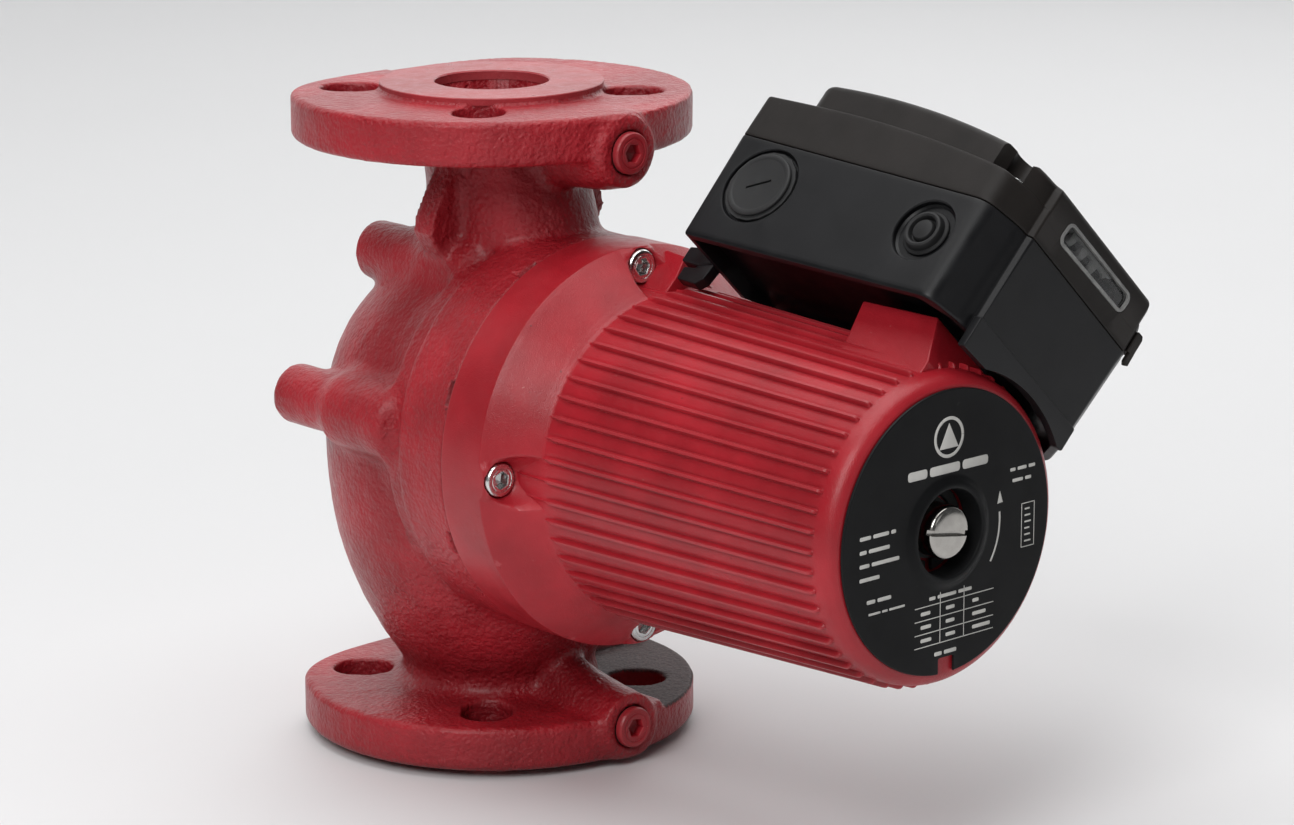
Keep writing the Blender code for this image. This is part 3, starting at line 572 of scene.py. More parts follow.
def window_material():
    mat = Nodes("window_plastic")
    haze = mat.noise(size=6, detail=3, span=(0.3, 0.7))
    return mat.set(
        color=mat.mix(haze, (0.66, 0.67, 0.68), (0.74, 0.75, 0.76)),
        rough=mat.noise(size=3, detail=3, span=(0.3, 0.7), out=(0.01, 0.04)),
        glass=1.0,
        ior=1.42,
        normal=mat.bump(mat.noise(size=9, detail=2), strength=0.03, depth=0.1),
    )


def rim_material():
    mat = Nodes("window_rim_plastic")
    haze = mat.noise(size=5, detail=3, span=(0.3, 0.7))
    return mat.set(
        color=mat.mix(haze, (0.20, 0.20, 0.195), (0.36, 0.355, 0.345)),
        rough=mat.noise(size=3, detail=3, span=(0.3, 0.7), out=(0.16, 0.26)),
        glass=0.25,
        ior=1.5,
        normal=mat.bump(mat.noise(size=1.6, detail=3), strength=0.3, depth=0.06, normal=mat.bevel(0.25)),
    )


RED_IRON = red_paint(
    "red_cast_iron", peel=1.0, grain=0.30, rough=0.35, tone=(0.40, 0.0125, 0.0215), cast=True
)
RED_ALU = red_paint(
    "red_motor_paint", peel=0.10, grain=0.34, rough=0.34, tone=(0.42, 0.0130, 0.0225)
)
RED_PLUG = red_paint(
    "red_plug_paint", peel=0.25, grain=0.3, rough=0.33, tone=(0.38, 0.0125, 0.021)
)
BASE_BLACK = plastic(
    "box_base_plastic", (0.0045, 0.0045, 0.0054), rough=0.36, grain=0.24, size=0.5
)
LID_BLACK = plastic(
    "box_lid_plastic", (0.0125, 0.0100, 0.0088), rough=0.48, grain=0.7, size=0.42, spec=0.22
)
PLUG_BLACK = plastic("plug_plastic", (0.0175, 0.0175, 0.018), rough=0.44, grain=0.5, size=0.6)
RUBBER = plastic("seal_rubber", (0.010, 0.010, 0.0105), rough=0.55, grain=0.6, size=0.8)
DARK = plastic("dark_inner_plastic", (0.012, 0.012, 0.012), rough=0.6, grain=0.5, size=0.5)
GREY = plastic(
    "grey_inner_plastic", (0.30, 0.31, 0.32), rough=0.45, grain=0.4, size=0.5, edge=0.1
)
BLUE = plastic(
    "blue_switch_plastic", (0.03, 0.09, 0.30), rough=0.35, grain=0.3, size=0.6, edge=0.2
)
FOIL = plastic(
    "nameplate_foil", (0.0045, 0.0047, 0.0052), rough=0.40, grain=0.42, size=0.33, edge=0.5,
    spec=0.14,
)
PRINT = plastic("print_ink", (0.60, 0.59, 0.56), rough=0.5, grain=0.2, size=0.5, edge=0.0)
ZINC = metal("zinc_plated_steel", (0.80, 0.81, 0.80), rough=0.22, scratch=0.3)
CHROME = metal("chromed_brass", (0.50, 0.48, 0.45), rough=0.15, scratch=0.42, turned=True)
STAINLESS = metal("stainless_sheet", (0.60, 0.60, 0.585), rough=0.30, scratch=0.4, turned=True)
LAMINATE = metal("electrical_steel", (0.30, 0.31, 0.33), rough=0.45, scratch=0.5, turned=True)
COPPER = metal("enamelled_copper", (0.58, 0.22, 0.075), rough=0.32, scratch=0.6)
BRASS = metal("terminal_brass", (0.70, 0.52, 0.22), rough=0.28, scratch=0.4)
CERAMIC = plastic(
    "bearing_ceramic", (0.66, 0.63, 0.56), rough=0.25, grain=0.2, size=0.8, edge=0.0
)
CARBON = plastic("bearing_carbon", (0.035, 0.035, 0.036), rough=0.42, grain=0.3, size=0.5)
COMB = plastic(
    "contact_comb_plastic", (0.36, 0.355, 0.335), rough=0.5, grain=0.4, size=0.6, edge=0.1
)
WINDOW_CLEAR, WINDOW_RIM = window_material(), rim_material()


# =========================================================== signed distances
# Each gives the distance to a shape, negative inside it.
def fuse(first, second, soft):
    """Two shapes joined with a fillet."""
    overlap = np.maximum(soft - np.abs(first - second), 0) / soft
    return np.minimum(first, second) - overlap * overlap * soft * 0.25


def carve(shape, tool, soft):
    return -fuse(-shape, tool, soft)


def prism(edge, along, low, high, soft):
    """A prism with soft edges. edge is the distance to its outline inset by soft."""
    side = np.abs(along - (low + high) / 2) - ((high - low) / 2 - soft)
    near = np.hypot(np.maximum(edge, 0), np.maximum(side, 0))
    return np.minimum(np.maximum(edge, side), 0) + near - soft


def disc(distance, along, radius, low, high, soft):
    return prism(distance - (radius - soft), along, low, high, soft)


def cone(x, y, z, start, end, start_radius, end_radius):
    """A round-ended cone."""
    start, end = np.array(start, float), np.array(end, float)
    axis = end - start
    length = np.linalg.norm(axis)
    axis /= length
    dx, dy, dz = x - start[0], y - start[1], z - start[2]
    along = dx * axis[0] + dy * axis[1] + dz * axis[2]
    off = np.sqrt(np.maximum(dx * dx + dy * dy + dz * dz - along * along, 0))
    share = np.clip(along / length, 0, 1)
    radius = start_radius + (end_radius - start_radius) * share
    return np.hypot(off, along - share * length) - radius


def polygon_distance(points, r, z):
    points = np.array(points, float)
    best = np.full(r.shape, 1e9)
    sign = np.ones(r.shape)
    for (x0, y0), (x1, y1) in zip(points, np.roll(points, -1, 0)):
        ex, ey = x1 - x0, y1 - y0
        share = np.clip(((r - x0) * ex + (z - y0) * ey) / (ex * ex + ey * ey), 0, 1)
        best = np.minimum(best, np.hypot(r - x0 - share * ex, z - y0 - share * ey))
        rise = ey if abs(ey) > 1e-12 else 1e-12
        crossing = ((y0 <= z) != (y1 <= z)) & (r < x0 + (z - y0) / rise * ex)
        sign = np.where(crossing, -sign, sign)
    return best * sign


class Turned:
    """A solid of revolution, looked up in a table over radius and height."""

    STEP = 0.5

    def __init__(self, points, radius_end, low, high):
        self.low = low
        radii, heights = np.arange(0, radius_end, self.STEP), np.arange(low, high, self.STEP)
        grid = np.meshgrid(radii, heights, indexing="ij")
        self.table = polygon_distance(points, *grid).astype(np.float32)

    def __call__(self, r, z):
        table = self.table
        i = np.clip(r / self.STEP, 0, table.shape[0] - 1.001)
        j = np.clip((z - self.low) / self.STEP, 0, table.shape[1] - 1.001)
        i0, j0 = i.astype(np.int32), j.astype(np.int32)
        u, v = i - i0, j - j0
        near = table[i0, j0] * (1 - u) + table[i0 + 1, j0] * u
        far = table[i0, j0 + 1] * (1 - u) + table[i0 + 1, j0 + 1] * u
        return near * (1 - v) + far * v


def spline(stations):
    """A smooth curve through (z, r) stations, as heights 1 apart and their radii."""
    z, r = np.array(stations, float).T
    slope = np.gradient(r, z)
    at = np.arange(z[0], z[-1] + 1.0, 1.0)
    k = np.clip(np.searchsorted(z, at) - 1, 0, len(z) - 2)
    h = z[k + 1] - z[k]
    t = np.clip((at - z[k]) / h, 0, 1)
    value = (2 * t**3 - 3 * t**2 + 1) * r[k] + (t**3 - 2 * t**2 + t) * h * slope[k]
    value = value + (-2 * t**3 + 3 * t**2) * r[k + 1] + (t**3 - t**2) * h * slope[k + 1]
    return at, value


# ================================================================ pump housing
# round body about the pipe axis: z, radius
BODY_Z, BODY_R = spline([
    (10, 36), (20, 35.2), (27, 37.2), (37, 43.5), (55, 53), (71, 59), (90, 63), (112, 64.6),
    (130, 64), (146, 60.5), (161, 53), (174, 42), (186, 31), (204, 25.6), (228, 25.6), (244, 28),
])
BODY_SLOPE = np.gradient(BODY_R, BODY_Z)
# case about the motor axis: radius, distance in front of the pipe axis
CASE_FRONT = 58.6
CASE = Turned(
    [
        (0, -12), (44, -12), (54, -5), (60.5, 3), (64.2, 11), (65.8, 19.0), (66.6, 20.4),
        (69.6, 21.6), (70.6, 22.8), (71.0, 31.6), (71.6, 32.3), (73.3, 32.8), (74.2, 33.6),
        (74.5, 34.8), (74.5, CASE_FRONT), (0, CASE_FRONT),
    ],
    radius_end=130, low=-80, high=110,
)
# bosses at the back: angle about the motor axis, back of the post, radius and back of the root
BOSS_CIRCLE = 62.5
BOSSES = [
    (172.5, -43.2, 14.4, -13), (111.5, -41.5, 12.6, -5),
    (68.5, -41.5, 12.6, -5), (7.5, -43.2, 14.4, -13),
]
# web at the neck: heights, half widths
WEB_Z = [176, 184, 192, 199, 206, 213, 221, 236]
WEB_HALF = [20, 31, 38.5, 42.3, 40.5, 36.5, 32, 25]
BORE_RADIUS = 21.6


def round_body(x, y, z, pipe_r):
    station = np.clip((z - BODY_Z[0]).astype(np.float32), 0, len(BODY_R) - 1.001)
    low = station.astype(np.int32)
    share = station - low
    radius = BODY_R[low] * (1 - share) + BODY_R[low + 1] * share
    body = (pipe_r - radius) / np.sqrt(1 + BODY_SLOPE[low] ** 2)
    body = np.maximum(body, np.maximum(12.0 - z, z - 240.0))
    dome = np.sqrt(x * x + (y - 18) ** 2 * 1.05 + (z - 122) ** 2) - 58.5
    # the back stays in front of the bosses' ends
    body = fuse(np.maximum(body, -(y + 43.0)), np.maximum(dome, -(y + 41.5)), 8.0)
    neck = cone(x, y, z, (0, 2, 240), (0, 24, 184), 28.6, 27.0)
    return fuse(body, neck, 7.0)


def add_bosses(shape, x, y, z):
    """Bosses with a thick root and a round post."""
    for angle, post_back, root_radius, root_back in BOSSES:
        boss_x, boss_z = around(BOSS_CIRCLE, angle, 0, MOTOR_Z)
        distance = np.hypot(x - boss_x, z - boss_z)
        post = disc(distance, y, 11.3, post_back, 22, 1.3)
        root = disc(distance, y, root_radius, root_back, 25.5, 6.0)
        shape = fuse(shape, fuse(post, root, 7.0), 5.0)
    return shape


def flange(y, z, pipe_r, low, high, soft, back):
    """A round flange with a flat back and round corners."""
    outline = -fuse(-(pipe_r - 75.0), -(-y - back), 16.0)
    return prism(outline + soft, z, low, high, soft)


def add_flanges(shape, x, y, z, pipe_r):
    low = flange(y, z, pipe_r, FLANGE_NEAR, FLANGE_FAR, 2.6, 62.5)
    high = flange(y, z, pipe_r, TOP - FLANGE_FAR, TOP - FLANGE_NEAR, 2.4, 61.0)
    # right of the mould joint the top flange stands a little lower
    high = np.maximum(high, np.where(x > -3.0, z - (TOP - 3.8), -9.0) * 0.9)
    return fuse(fuse(shape, low, 10.0), high, 8.0)


def add_gauge_bosses(shape, x, y, z):
    """Each boss has a root that runs back into the neck."""
    lower = disc(np.hypot(x, z - GAUGE_HEIGHTS["lower"]), y, 12.9, 34, 77, 1.6)
    shape = fuse(shape, lower, 5.0)
    shape = fuse(shape, cone(x, y, z, (0, 26, 33), (0, 63, 16), 7.0, 11.6), 5.0)
    upper = disc(np.hypot(x, z - GAUGE_HEIGHTS["upper"]), y, 12.9, 46, 77, 1.6)
    shape = fuse(shape, upper, 5.0)
    return fuse(shape, cone(x, y, z, (0, 26, 222), (0, 62, 231), 8, 12.2), 8.0)


def bolt_slot(x, y, angle):
    """A slot that runs outwards from the pipe axis."""
    c, s = math.cos(math.radians(angle)), math.sin(math.radians(angle))
    along, across = x * c + y * s, -x * s + y * c
    return np.hypot(np.maximum(np.abs(along - 52.75) - 2.0, 0), across) - 9.5


def cut_flanges(shape, x, y, z, pipe_r):
    """The machined floor at the lower flange's right front bolt slot, then the bolt slots."""
    edges = np.maximum(20.5 - x, np.maximum(38.0 - pipe_r, z - 34))
    floor = np.maximum(MACHINED_FLOOR - z, edges)
    floor = np.maximum(floor, np.where(y < 2, 2 - y, -9))
    shape = carve(shape, floor, 1.4)
    for angle in (45, 135, 225, 315):
        slot = bolt_slot(x, y, angle)
        shape = carve(shape, np.maximum(slot, z - 30), 1.3)
        shape = carve(shape, np.maximum(slot, 214 - z), 1.3)
    return shape


def waterways(x, y, z, pipe_r, motor_r):
    bore = np.maximum(pipe_r - BORE_RADIUS, z - 62)
    bore = fuse(bore, cone(x, y, z, (0, 0, 50), (0, 0, 118), 20.4, 18.5), 3.0)
    bore = fuse(bore, cone(x, y, z, (0, 0, 122), (0, 20, MOTOR_Z), 18.4, 18.4), 5.0)
    bore = np.minimum(bore, np.maximum(motor_r - 24, np.maximum(17 - y, y - 30)))
    bore = np.minimum(bore, np.maximum(motor_r - 60, np.maximum(27 - y, y - 70)))
    bore = np.minimum(bore, np.maximum(motor_r - 62.6, 55 - y))
    outlet = np.maximum(pipe_r - BORE_RADIUS, 226 - z)
    outlet = fuse(outlet, cone(x, y, z, (0, 2, 226), (0, 36, 182), 17.5, 14.5), 6.0)
    return np.minimum(bore, outlet)


def cut_threads(shape, x, y, z):
    """Holes for the motor screws and the gauge plugs."""
    for angle in QUARTERS:
        hole_x, hole_z = around(SCREW_CIRCLE, angle, 0, MOTOR_Z)
        hole = np.hypot(x - hole_x, z - hole_z) - 3.9
        shape = np.maximum(shape, -np.maximum(hole, 38 - y))
    for height in GAUGE_HEIGHTS.values():
        distance = np.hypot(x, z - height)
        shape = np.maximum(shape, -np.maximum(distance - 6.7, 56 - y))
        shape = np.maximum(shape, -np.maximum(distance - 8.2, 74.6 - y))
    return shape


def housing(x, y, z):
    pipe_r, motor_r = np.hypot(x, y), np.hypot(x, z - MOTOR_Z)
    shape = fuse(round_body(x, y, z, pipe_r), CASE(motor_r, y), 3.0)
    depth = np.maximum(y - 15.0, 4.5 - y)
    web = np.maximum(depth, np.maximum(z - 236, 178 - z))
    web = np.maximum(np.abs(x) - np.interp(z, WEB_Z, WEB_HALF), web)
    shape = fuse(shape, web, 5.0)
    shape = add_bosses(shape, x, y, z)
    # keep the case's front flat where the fillets would swell it
    shape = np.maximum(shape, y - CASE_FRONT)
    shape = add_flanges(shape, x, y, z, pipe_r)
    shape = add_gauge_bosses(shape, x, y, z)
    shape = np.maximum(shape, FLANGE_NEAR - z)
    shape = np.maximum(shape, z - (TOP - FLANGE_NEAR))
    # raised faces, with a cast fillet under each
    for low, high in ((1.2, 9), (TOP - 9, TOP - 1.2)):
        shape = fuse(shape, disc(pipe_r, z, 41.9, low, high, 0.4), 2.2)
    shape = cut_flanges(shape, x, y, z, pipe_r)
    shape = np.maximum(shape, -waterways(x, y, z, pipe_r, motor_r))
    return cut_threads(shape, x, y, z)


def surface(distance, low, high, step):
    """Points and quads of a distance function's surface, and its slope at each point."""
    xs, ys, zs = (np.arange(l, h + step, step) for l, h in zip(low, high))
    field = np.empty((len(xs), len(ys), len(zs)), np.float32)
    band = 60  # layers worked out at a time, to spare memory
    for i in range(0, len(zs), band):
        block = np.meshgrid(xs, ys, zs[i : i + band], indexing="ij")
        values = distance(*(axis.astype(np.float32) for axis in block))
        field[:, :, i : i + band] = np.clip(values, -4 * step, 4 * step)
    grid = vdb.FloatGrid()
    grid.copyFromArray(field)
    points, quads = grid.convertToQuads(isovalue=0.0)
    points = points.astype(np.float64) * step + np.array(low, float)
    eps = 0.05
    # pull each point onto the exact surface
    for _ in range(3):
        x, y, z = points.T
        off = distance(x, y, z)
        slope = np.stack([
            distance(x + eps, y, z) - distance(x - eps, y, z),
            distance(x, y + eps, z) - distance(x, y - eps, z),
            distance(x, y, z + eps) - distance(x, y, z - eps),
        ], 1) / (2 * eps)
        size = np.maximum((slope * slope).sum(1), 0.25)
        points -= np.clip(off / size, -0.5 * step, 0.5 * step)[:, None] * slope
    return points, quads, slope


def cast_share(points):
    """1 on a cast surface, 0 on a machined one."""
    x, y, z = points.T
    share = np.ones(len(points))
    share[(y > 57.6) & (y < 60)] = 0
    share[(z < 3.4) | (z > TOP - 3.2)] = 0
    share[np.hypot(x, y) < 22.5] = 0
    share[(np.abs(z - MACHINED_FLOOR) < 0.4) & (x > 20)] = 0.3
    share[y > 76.5] = 0
    share[y < -45.5] = 0
    return share


def cast_waves(points, slope, low, pitch=4.2, height=0.085):
    """Moves points along their normals by smooth random waves."""
    lattice = np.random.default_rng(7).standard_normal((64, 64, 64))
    cell = (points - np.array(low)) / pitch
    corner = np.floor(cell).astype(int)
    share = cell - corner
    share = share * share * (3 - 2 * share)
    sx, sy, sz = share.T
    value = 0
    for dx in (0, 1):
        for dy in (0, 1):
            for dz in (0, 1):
                weight = (sx if dx else 1 - sx) * (sy if dy else 1 - sy) * (sz if dz else 1 - sz)
                i, j, k = ((corner + (dx, dy, dz)) % 64).T
                value = value + weight * lattice[i, j, k]
    slope /= np.linalg.norm(slope, axis=1)[:, None] + 1e-9
    waves = (np.clip(value, -1.6, 1.6) * height)[:, None]
    points += slope * waves * cast_share(points)[:, None]


GRID_LOW, GRID_HIGH = (-80, -68, -2), (80, 81, 253)
points, quads, slope = surface(housing, GRID_LOW, GRID_HIGH, 1.12)
cast_waves(points, slope, GRID_LOW)
pump = solid("pump_housing_casting", points, quads, HOUSE, sharp=None)
triangles, kept = 2 * len(quads), 178000
if triangles > kept:
    thin = pump.modifiers.new("thin", "DECIMATE")
    thin.ratio = kept / triangles
    apply_modifiers(pump)
# slots at the joint between pump and motor, at angles about the motor axis
slots = []
for middle in (115.5, 158.5, 202.5, 245.5, 295, 338, 22, 64.5):
    inner, outer = (arc(0, 0, radius, middle - 3.5, middle + 3.5, 4) for radius in (66.5, 76))
    slots.append(cutter(inner + outer[::-1], [(56.75, 0), (59.6, 0)], MOTOR))
boolean(pump, slots, solver="MANIFOLD")
x, y, z = vertex_columns(pump)
y = PIPE_Y - y
on_floor = (np.abs(z - MACHINED_FLOOR) < 0.9) & (x > 21.5) & (np.hypot(x, y) > 37.5) & (y > 1)
add_mask(pump, "bare", on_floor)
for polygon in pump.data.polygons:
    polygon.use_smooth = True
finish_piece(pump, ROOT, RED_IRON, "red_painted_iron", "pump_housing")

# a rubber ring behind the slots at the joint: partly the real seal, partly painted shade that keeps the
# slots dark
seal_profile = [(66.8, 57.0), (66.8, 58.3), (72.6, 58.3), (72.9, 58.1), (72.9, 57.2), (72.6, 57.0)]
seal = lathe("casing_seam_seal_and_shade", seal_profile, MOTOR, 144)
finish_piece(seal, ROOT, RUBBER, "seal_rubber")

# the two turned sealing faces; out is the way each one looks along z
for name, end, out in (("lower_sealing_face", 0.0, -1), ("upper_sealing_face", TOP, 1)):
    root = end - 3.6 * out
    profile = [
        (21.4, root), (21.4, end - 0.5 * out), (21.9, end), (41.7, end), (42.0, end - 0.3 * out),
        (42.0, root + 1.0 * out), (41.0, root),
    ]
    face = lathe(name, profile, Matrix.Translation((0, PIPE_Y, 0)), 128)
    finish_piece(face, ROOT, RED_PLUG, "red_painted_iron")


# =============================================================== stator housing
def barrel(z):
    """Radius of the ribbed barrel, which narrows forwards."""
    return 60.2 - 5.0 * (z - 100.0) / 128.0


RIBS, PHASE = 50, 5.5
# columns of points round each rib, by their distance from its middle
RIB_COLUMNS = [
    -3.58, -2.5, -1.85, -1.45, -1.1, -0.8, -0.45, 0, 0.45, 0.8, 1.1, 1.45, 1.85, 2.5
]
# closed section through the motor axis: z, radius
STATOR_ROWS = np.array(
    # mounting flange
    [(58.9, 58.2), (58.9, 74.6), (59.15, 74.9), (59.6, 75.0), (64, 75.0), (70, 75.0), (76, 75.0)]
    + [(79.6, 75.0), (80.05, 74.96), (80.3, 74.86), (80.95, 74.3), (81.15, 74.15)]
    + [(81.45, 73.95)]
    # slope down to the barrel
    + [(81.45 + (95.0 - 81.45) * i / 16, 73.95 + (62.45 - 73.95) * i / 16) for i in range(1, 17)]
    + [(95.5, 62.08), (95.95, 61.72), (96.4, 61.35), (96.8, 61.02), (97.2, 60.75), (97.7, 60.52)]
    # barrel
    + [(z, barrel(z)) for z in (
        98.2, 98.8, 99.4, 100.0, 100.7, 101.5, 102.5, 103.5, 104.8, 106.5, 109, 118, 134, 150,
        166, 182, 198, 212, 220, 225, 227.6, 228.5, 229.0, 229.4, 229.8, 230.2,
    )]
    # front face
    + [(231.2, 55.0), (232.4, 54.85), (233.8, 54.55), (235.0, 54.05), (236.1, 53.35)]
    + [(236.9, 52.5), (237.45, 51.5), (237.75, 50.8), (237.8, 49.9), (237.8, 30), (237.8, 17.0)]
    # hole in the front and hollow inside
    + [(237.3, 16.0), (234, 16.0), (228.4, 16.0), (228, 15.4), (227, 11.4), (222, 11.4)]
    + [(222, 34), (218, 52), (150, 52), (70, 52), (66, 58.2)]
)


def add_ribs(z, radius, near):
    """Raises the ribs, with a shallow dip beside each. near is the distance from a rib."""
    outer = (z > 96.9) & (z < 230.9) & (radius > 54)
    rise = np.clip((z - 97.2) / 7.6, 0, 1)
    rise = rise * (2 - rise)
    fall = np.sqrt(np.clip(1 - np.clip((z - 228.4) / 1.7, 0, 1) ** 2, 0, 1))
    width = 0.22 + 0.78 * np.clip((z - 97.2) / 7.0, 0, 1) ** 0.8
    width *= 0.55 + 0.45 * fall
    profile = np.clip((1.08 * width - near) / (0.58 * width), 0, 1)
    profile = profile * profile * (3 - 2 * profile)
    dip = -0.22 * np.exp(-(((near - 1.35) / 0.42) ** 2))
    return radius + np.where(outer, (1.75 * rise * fall) * profile + dip * rise * fall, 0)


def sink_pocket(x, y, z, angle):
    """A soft dish round a screw, sunk into the flange's slope, with a low rounded shoulder."""
    screw_x, screw_y = around(SCREW_CIRCLE, angle)
    distance = np.hypot(x - screw_x, y - screw_y)
    row = np.arange(len(z))[:, None]
    floor = 83.4 + np.clip((distance - 6.9) / 2.0, 0, 4) ** 1.15 * 4.6
    blend = np.clip((floor - z) / 3.6 + 0.5, 0, 1)
    sunk = z * blend + floor * (1 - blend) - 1.8 * blend * (1 - blend)
    slope = (row >= 12) & (row <= 40)
    z = np.where(slope & (distance < 14) & (z < 98.5), np.minimum(z, sunk), z)
    share = np.clip((distance - 7.2) / 4.2, 0, 1)
    shoulder = 83.5 - 3.6 * share ** 2 * (3 - 2 * share)
    lift = np.where(row < 13, (row - 13) * 0.25, 0)
    at_edge = (row >= 8) & (row <= 24)
    return np.where(at_edge & (distance < 11.4), np.maximum(z, shoulder + lift), z)


def stator_mesh():
    columns = np.array(RIB_COLUMNS)
    pitch = 7.2  # degrees from rib to rib
    theta = np.radians(np.concatenate([
        PHASE + pitch * k + np.degrees(columns / 57.5) for k in range(RIBS)
    ]))
    near = np.abs(np.tile(columns, RIBS))[None]
    z, radius = (np.repeat(STATOR_ROWS[:, i][:, None], len(theta), 1) for i in (0, 1))
    radius = add_ribs(z, radius, near)
    x, y = radius * np.cos(theta), radius * np.sin(theta)
    for angle in QUARTERS:
        z = sink_pocket(x, y, z, angle)
    verts = np.stack([x, y, z], -1).reshape(-1, 3)
    index = np.arange(z.size).reshape(z.shape)
    next_row, next_column = np.roll(index, -1, 0), np.roll(index, -1, 1)
    both = np.roll(next_row, -1, 1)
    faces = np.stack([index, next_column, both, next_row], -1).reshape(-1, 4)
    return solid("stator_housing_casting", verts, faces, MOTOR, sharp=None)


stator = stator_mesh()
# a hair off the quarter turns, so that no edges fall together
hole_profile = [(0, 57), (3.9, 57), (3.9, 77.5), (6.75, 77.5), (6.75, 99), (0, 99)]
boolean(stator, [
    lathe("hole", hole_profile, MOTOR, 64, centre=around(SCREW_CIRCLE, angle + 0.01))
    for angle in QUARTERS
], solver="MANIFOLD")
# pads that carry the terminal box, front then rear: outline in SIDE, its radii, bevel, and the
# (radius, z) profile of the core that hollows the pad
PADS = [
    (
        [(186.6, 57.5), (222.8, 57.5), (230.2, 40.5), (230.2, 34), (190.2, 34), (189.9, 41)],
        [0.8, 1.1, 1.5, 0, 0, 0], 0.8,
        [(0, 50), (56.5, 50), (56.0, 100), (53.2, 222), (40, 226), (0, 226)],
    ),
    (
        [(82.6, 60), (94.4, 59.0), (96.6, 50), (96.6, 34), (84, 34), (82.6, 40)],
        [1.2, 1.5, 1.0, 0, 0, 1.0], 0.9,
        [(0, 50), (57.3, 50), (57.3, 84), (56.8, 100), (53.4, 222), (40, 226), (0, 226)],
    ),
]
pads = []
for outline, radii, bevel, core_profile in PADS:
    pads.append(slab("pad", rounded(outline, radii, 5), -42.3, 32.3, SIDE, bevel))
    boolean(pads[-1], [lathe("core", core_profile, MOTOR, 96)])
boolean(stator, pads, "UNION", "MANIFOLD")
BOX_SCREWS = [(206, -27), (206, 29)]
holes = [cylinder(2.4, 50, 64, BOX, 24, centre) for centre in BOX_SCREWS]
boolean(stator, holes, solver="MANIFOLD")
x, y, z = vertex_columns(stator)
z, forwards = z - MOTOR_Z, PIPE_Y - y
outwards, sideways = (x + z) * C45, (x - z) * C45
rear, front = (forwards > 81) & (forwards < 104), (forwards > 185) & (forwards < 230.4)
add_mask(stator, "flat", (outwards > 33) & (np.abs(sideways + 5) < 38.2) & (rear | front))
finish_piece(stator, ROOT, RED_ALU, "red_painted_aluminium", "stator_housing", sharp=38)


# ====================================================================== screws
def hex_screw(name, where, head_r, head_h, shank_r, shank_l, hex_r, turn, deep):
    """A socket-head screw whose head's underside is z = 0."""
    count = 72
    angle = np.linspace(0, 2 * np.pi, count, endpoint=False)
    apothem = hex_r * math.cos(math.pi / 6)
    hexagon = apothem / np.cos((angle - turn + np.pi / 6) % (np.pi / 3) - np.pi / 6)
    edge = 0.16 * head_r
    profile = [
        (shank_r * 0.8, -shank_l), (shank_r, -shank_l + 1), (shank_r, -0.4), (shank_r + 0.4, 0),
        # head
        (head_r - 0.25, 0), (head_r, 0.3), (head_r, head_h - edge),
        (head_r - 0.12 * edge, head_h - 0.55 * edge), (head_r - 0.45 * edge, head_h - 0.12 * edge),
        (head_r - edge, head_h), (head_r * 0.74, head_h), (head_r * 0.72, head_h - 0.14),
        (head_r * 0.66, head_h - 0.14), (head_r * 0.64, head_h),
        # socket
        (1.14 * hexagon, head_h), (1.06 * hexagon, head_h - 0.12), (1.0 * hexagon, head_h - 0.5),
        (1.0 * hexagon, head_h - deep), (0.45 * hexagon, head_h - deep - 0.7),
    ]
    rings = [
        np.column_stack([radius * np.cos(angle), radius * np.sin(angle), np.full(count, z)])
        for radius, z in profile
    ]
    verts = np.concatenate([*rings, [[0, 0, head_h - deep - 1.1], [0, 0, -shank_l - 0.2]]])
    faces = []
    for low in range(0, (len(rings) - 1) * count, count):
        for i in range(count):
            j = (i + 1) % count
            faces.append((low + i, low + j, low + count + j, low + count + i))
    last, tip = (len(rings) - 1) * count, len(rings) * count
    faces += [(last + i, last + (i + 1) % count, tip) for i in range(count)]
    faces += [((i + 1) % count, i, tip + 1) for i in range(count)]
    return solid(name, verts, faces, where, 28)


for k, angle in enumerate(QUARTERS, 1):
    screw = hex_screw(
        f"motor_screw_{k}", inside(MOTOR, (*around(SCREW_CIRCLE, angle), 77.8)), head_r=6.3,
        head_h=6.6, shank_r=3.4, shank_l=38.4, hex_r=3.25, turn=0.3 * k, deep=3.8,
    )
    finish_piece(screw, ROOT, ZINC, "zinc_screw_steel", f"housing_screw_{k}")
for name, z in GAUGE_HEIGHTS.items():
    screw = hex_screw(
        f"gauge_screw_{name}", inside(MOTOR, (0, z - MOTOR_Z, 76.6)), head_r=7.8,
        head_h=3.0, shank_r=6.2, shank_l=16, hex_r=3.6, turn=0.35, deep=3.4,
    )
    body = f"{name}_gauge_plug"
    finish_piece(screw, body, RED_PLUG, "red_painted_iron", f"gauge_plug_{name}")

# vent screw: slotted, turned and chromed
vent = lathe("vent_plug", [
    (0, 209), (6.2, 209), (7.2, 210), (7.2, 230.4), (8.4, 231), (9.2, 231.7), (9.5, 232.4),
    (9.5, 238.6), (9.3, 239.5), (8.8, 240.2), (8.0, 240.6), (6.4, 240.85), (3.2, 241.0),
    (0, 241.02),
], MOTOR, 96)
slot_frame = MOTOR @ Matrix.Rotation(math.radians(-9.7), 4, "Z")
boolean(vent, [cutter(rectangle(-12, -0.95, 12, 0.95), [(238.3, 0), (245, 0)], slot_frame)])
finish_piece(vent, "vent", CHROME, "chromed_brass", "vent_screw", sharp=30)

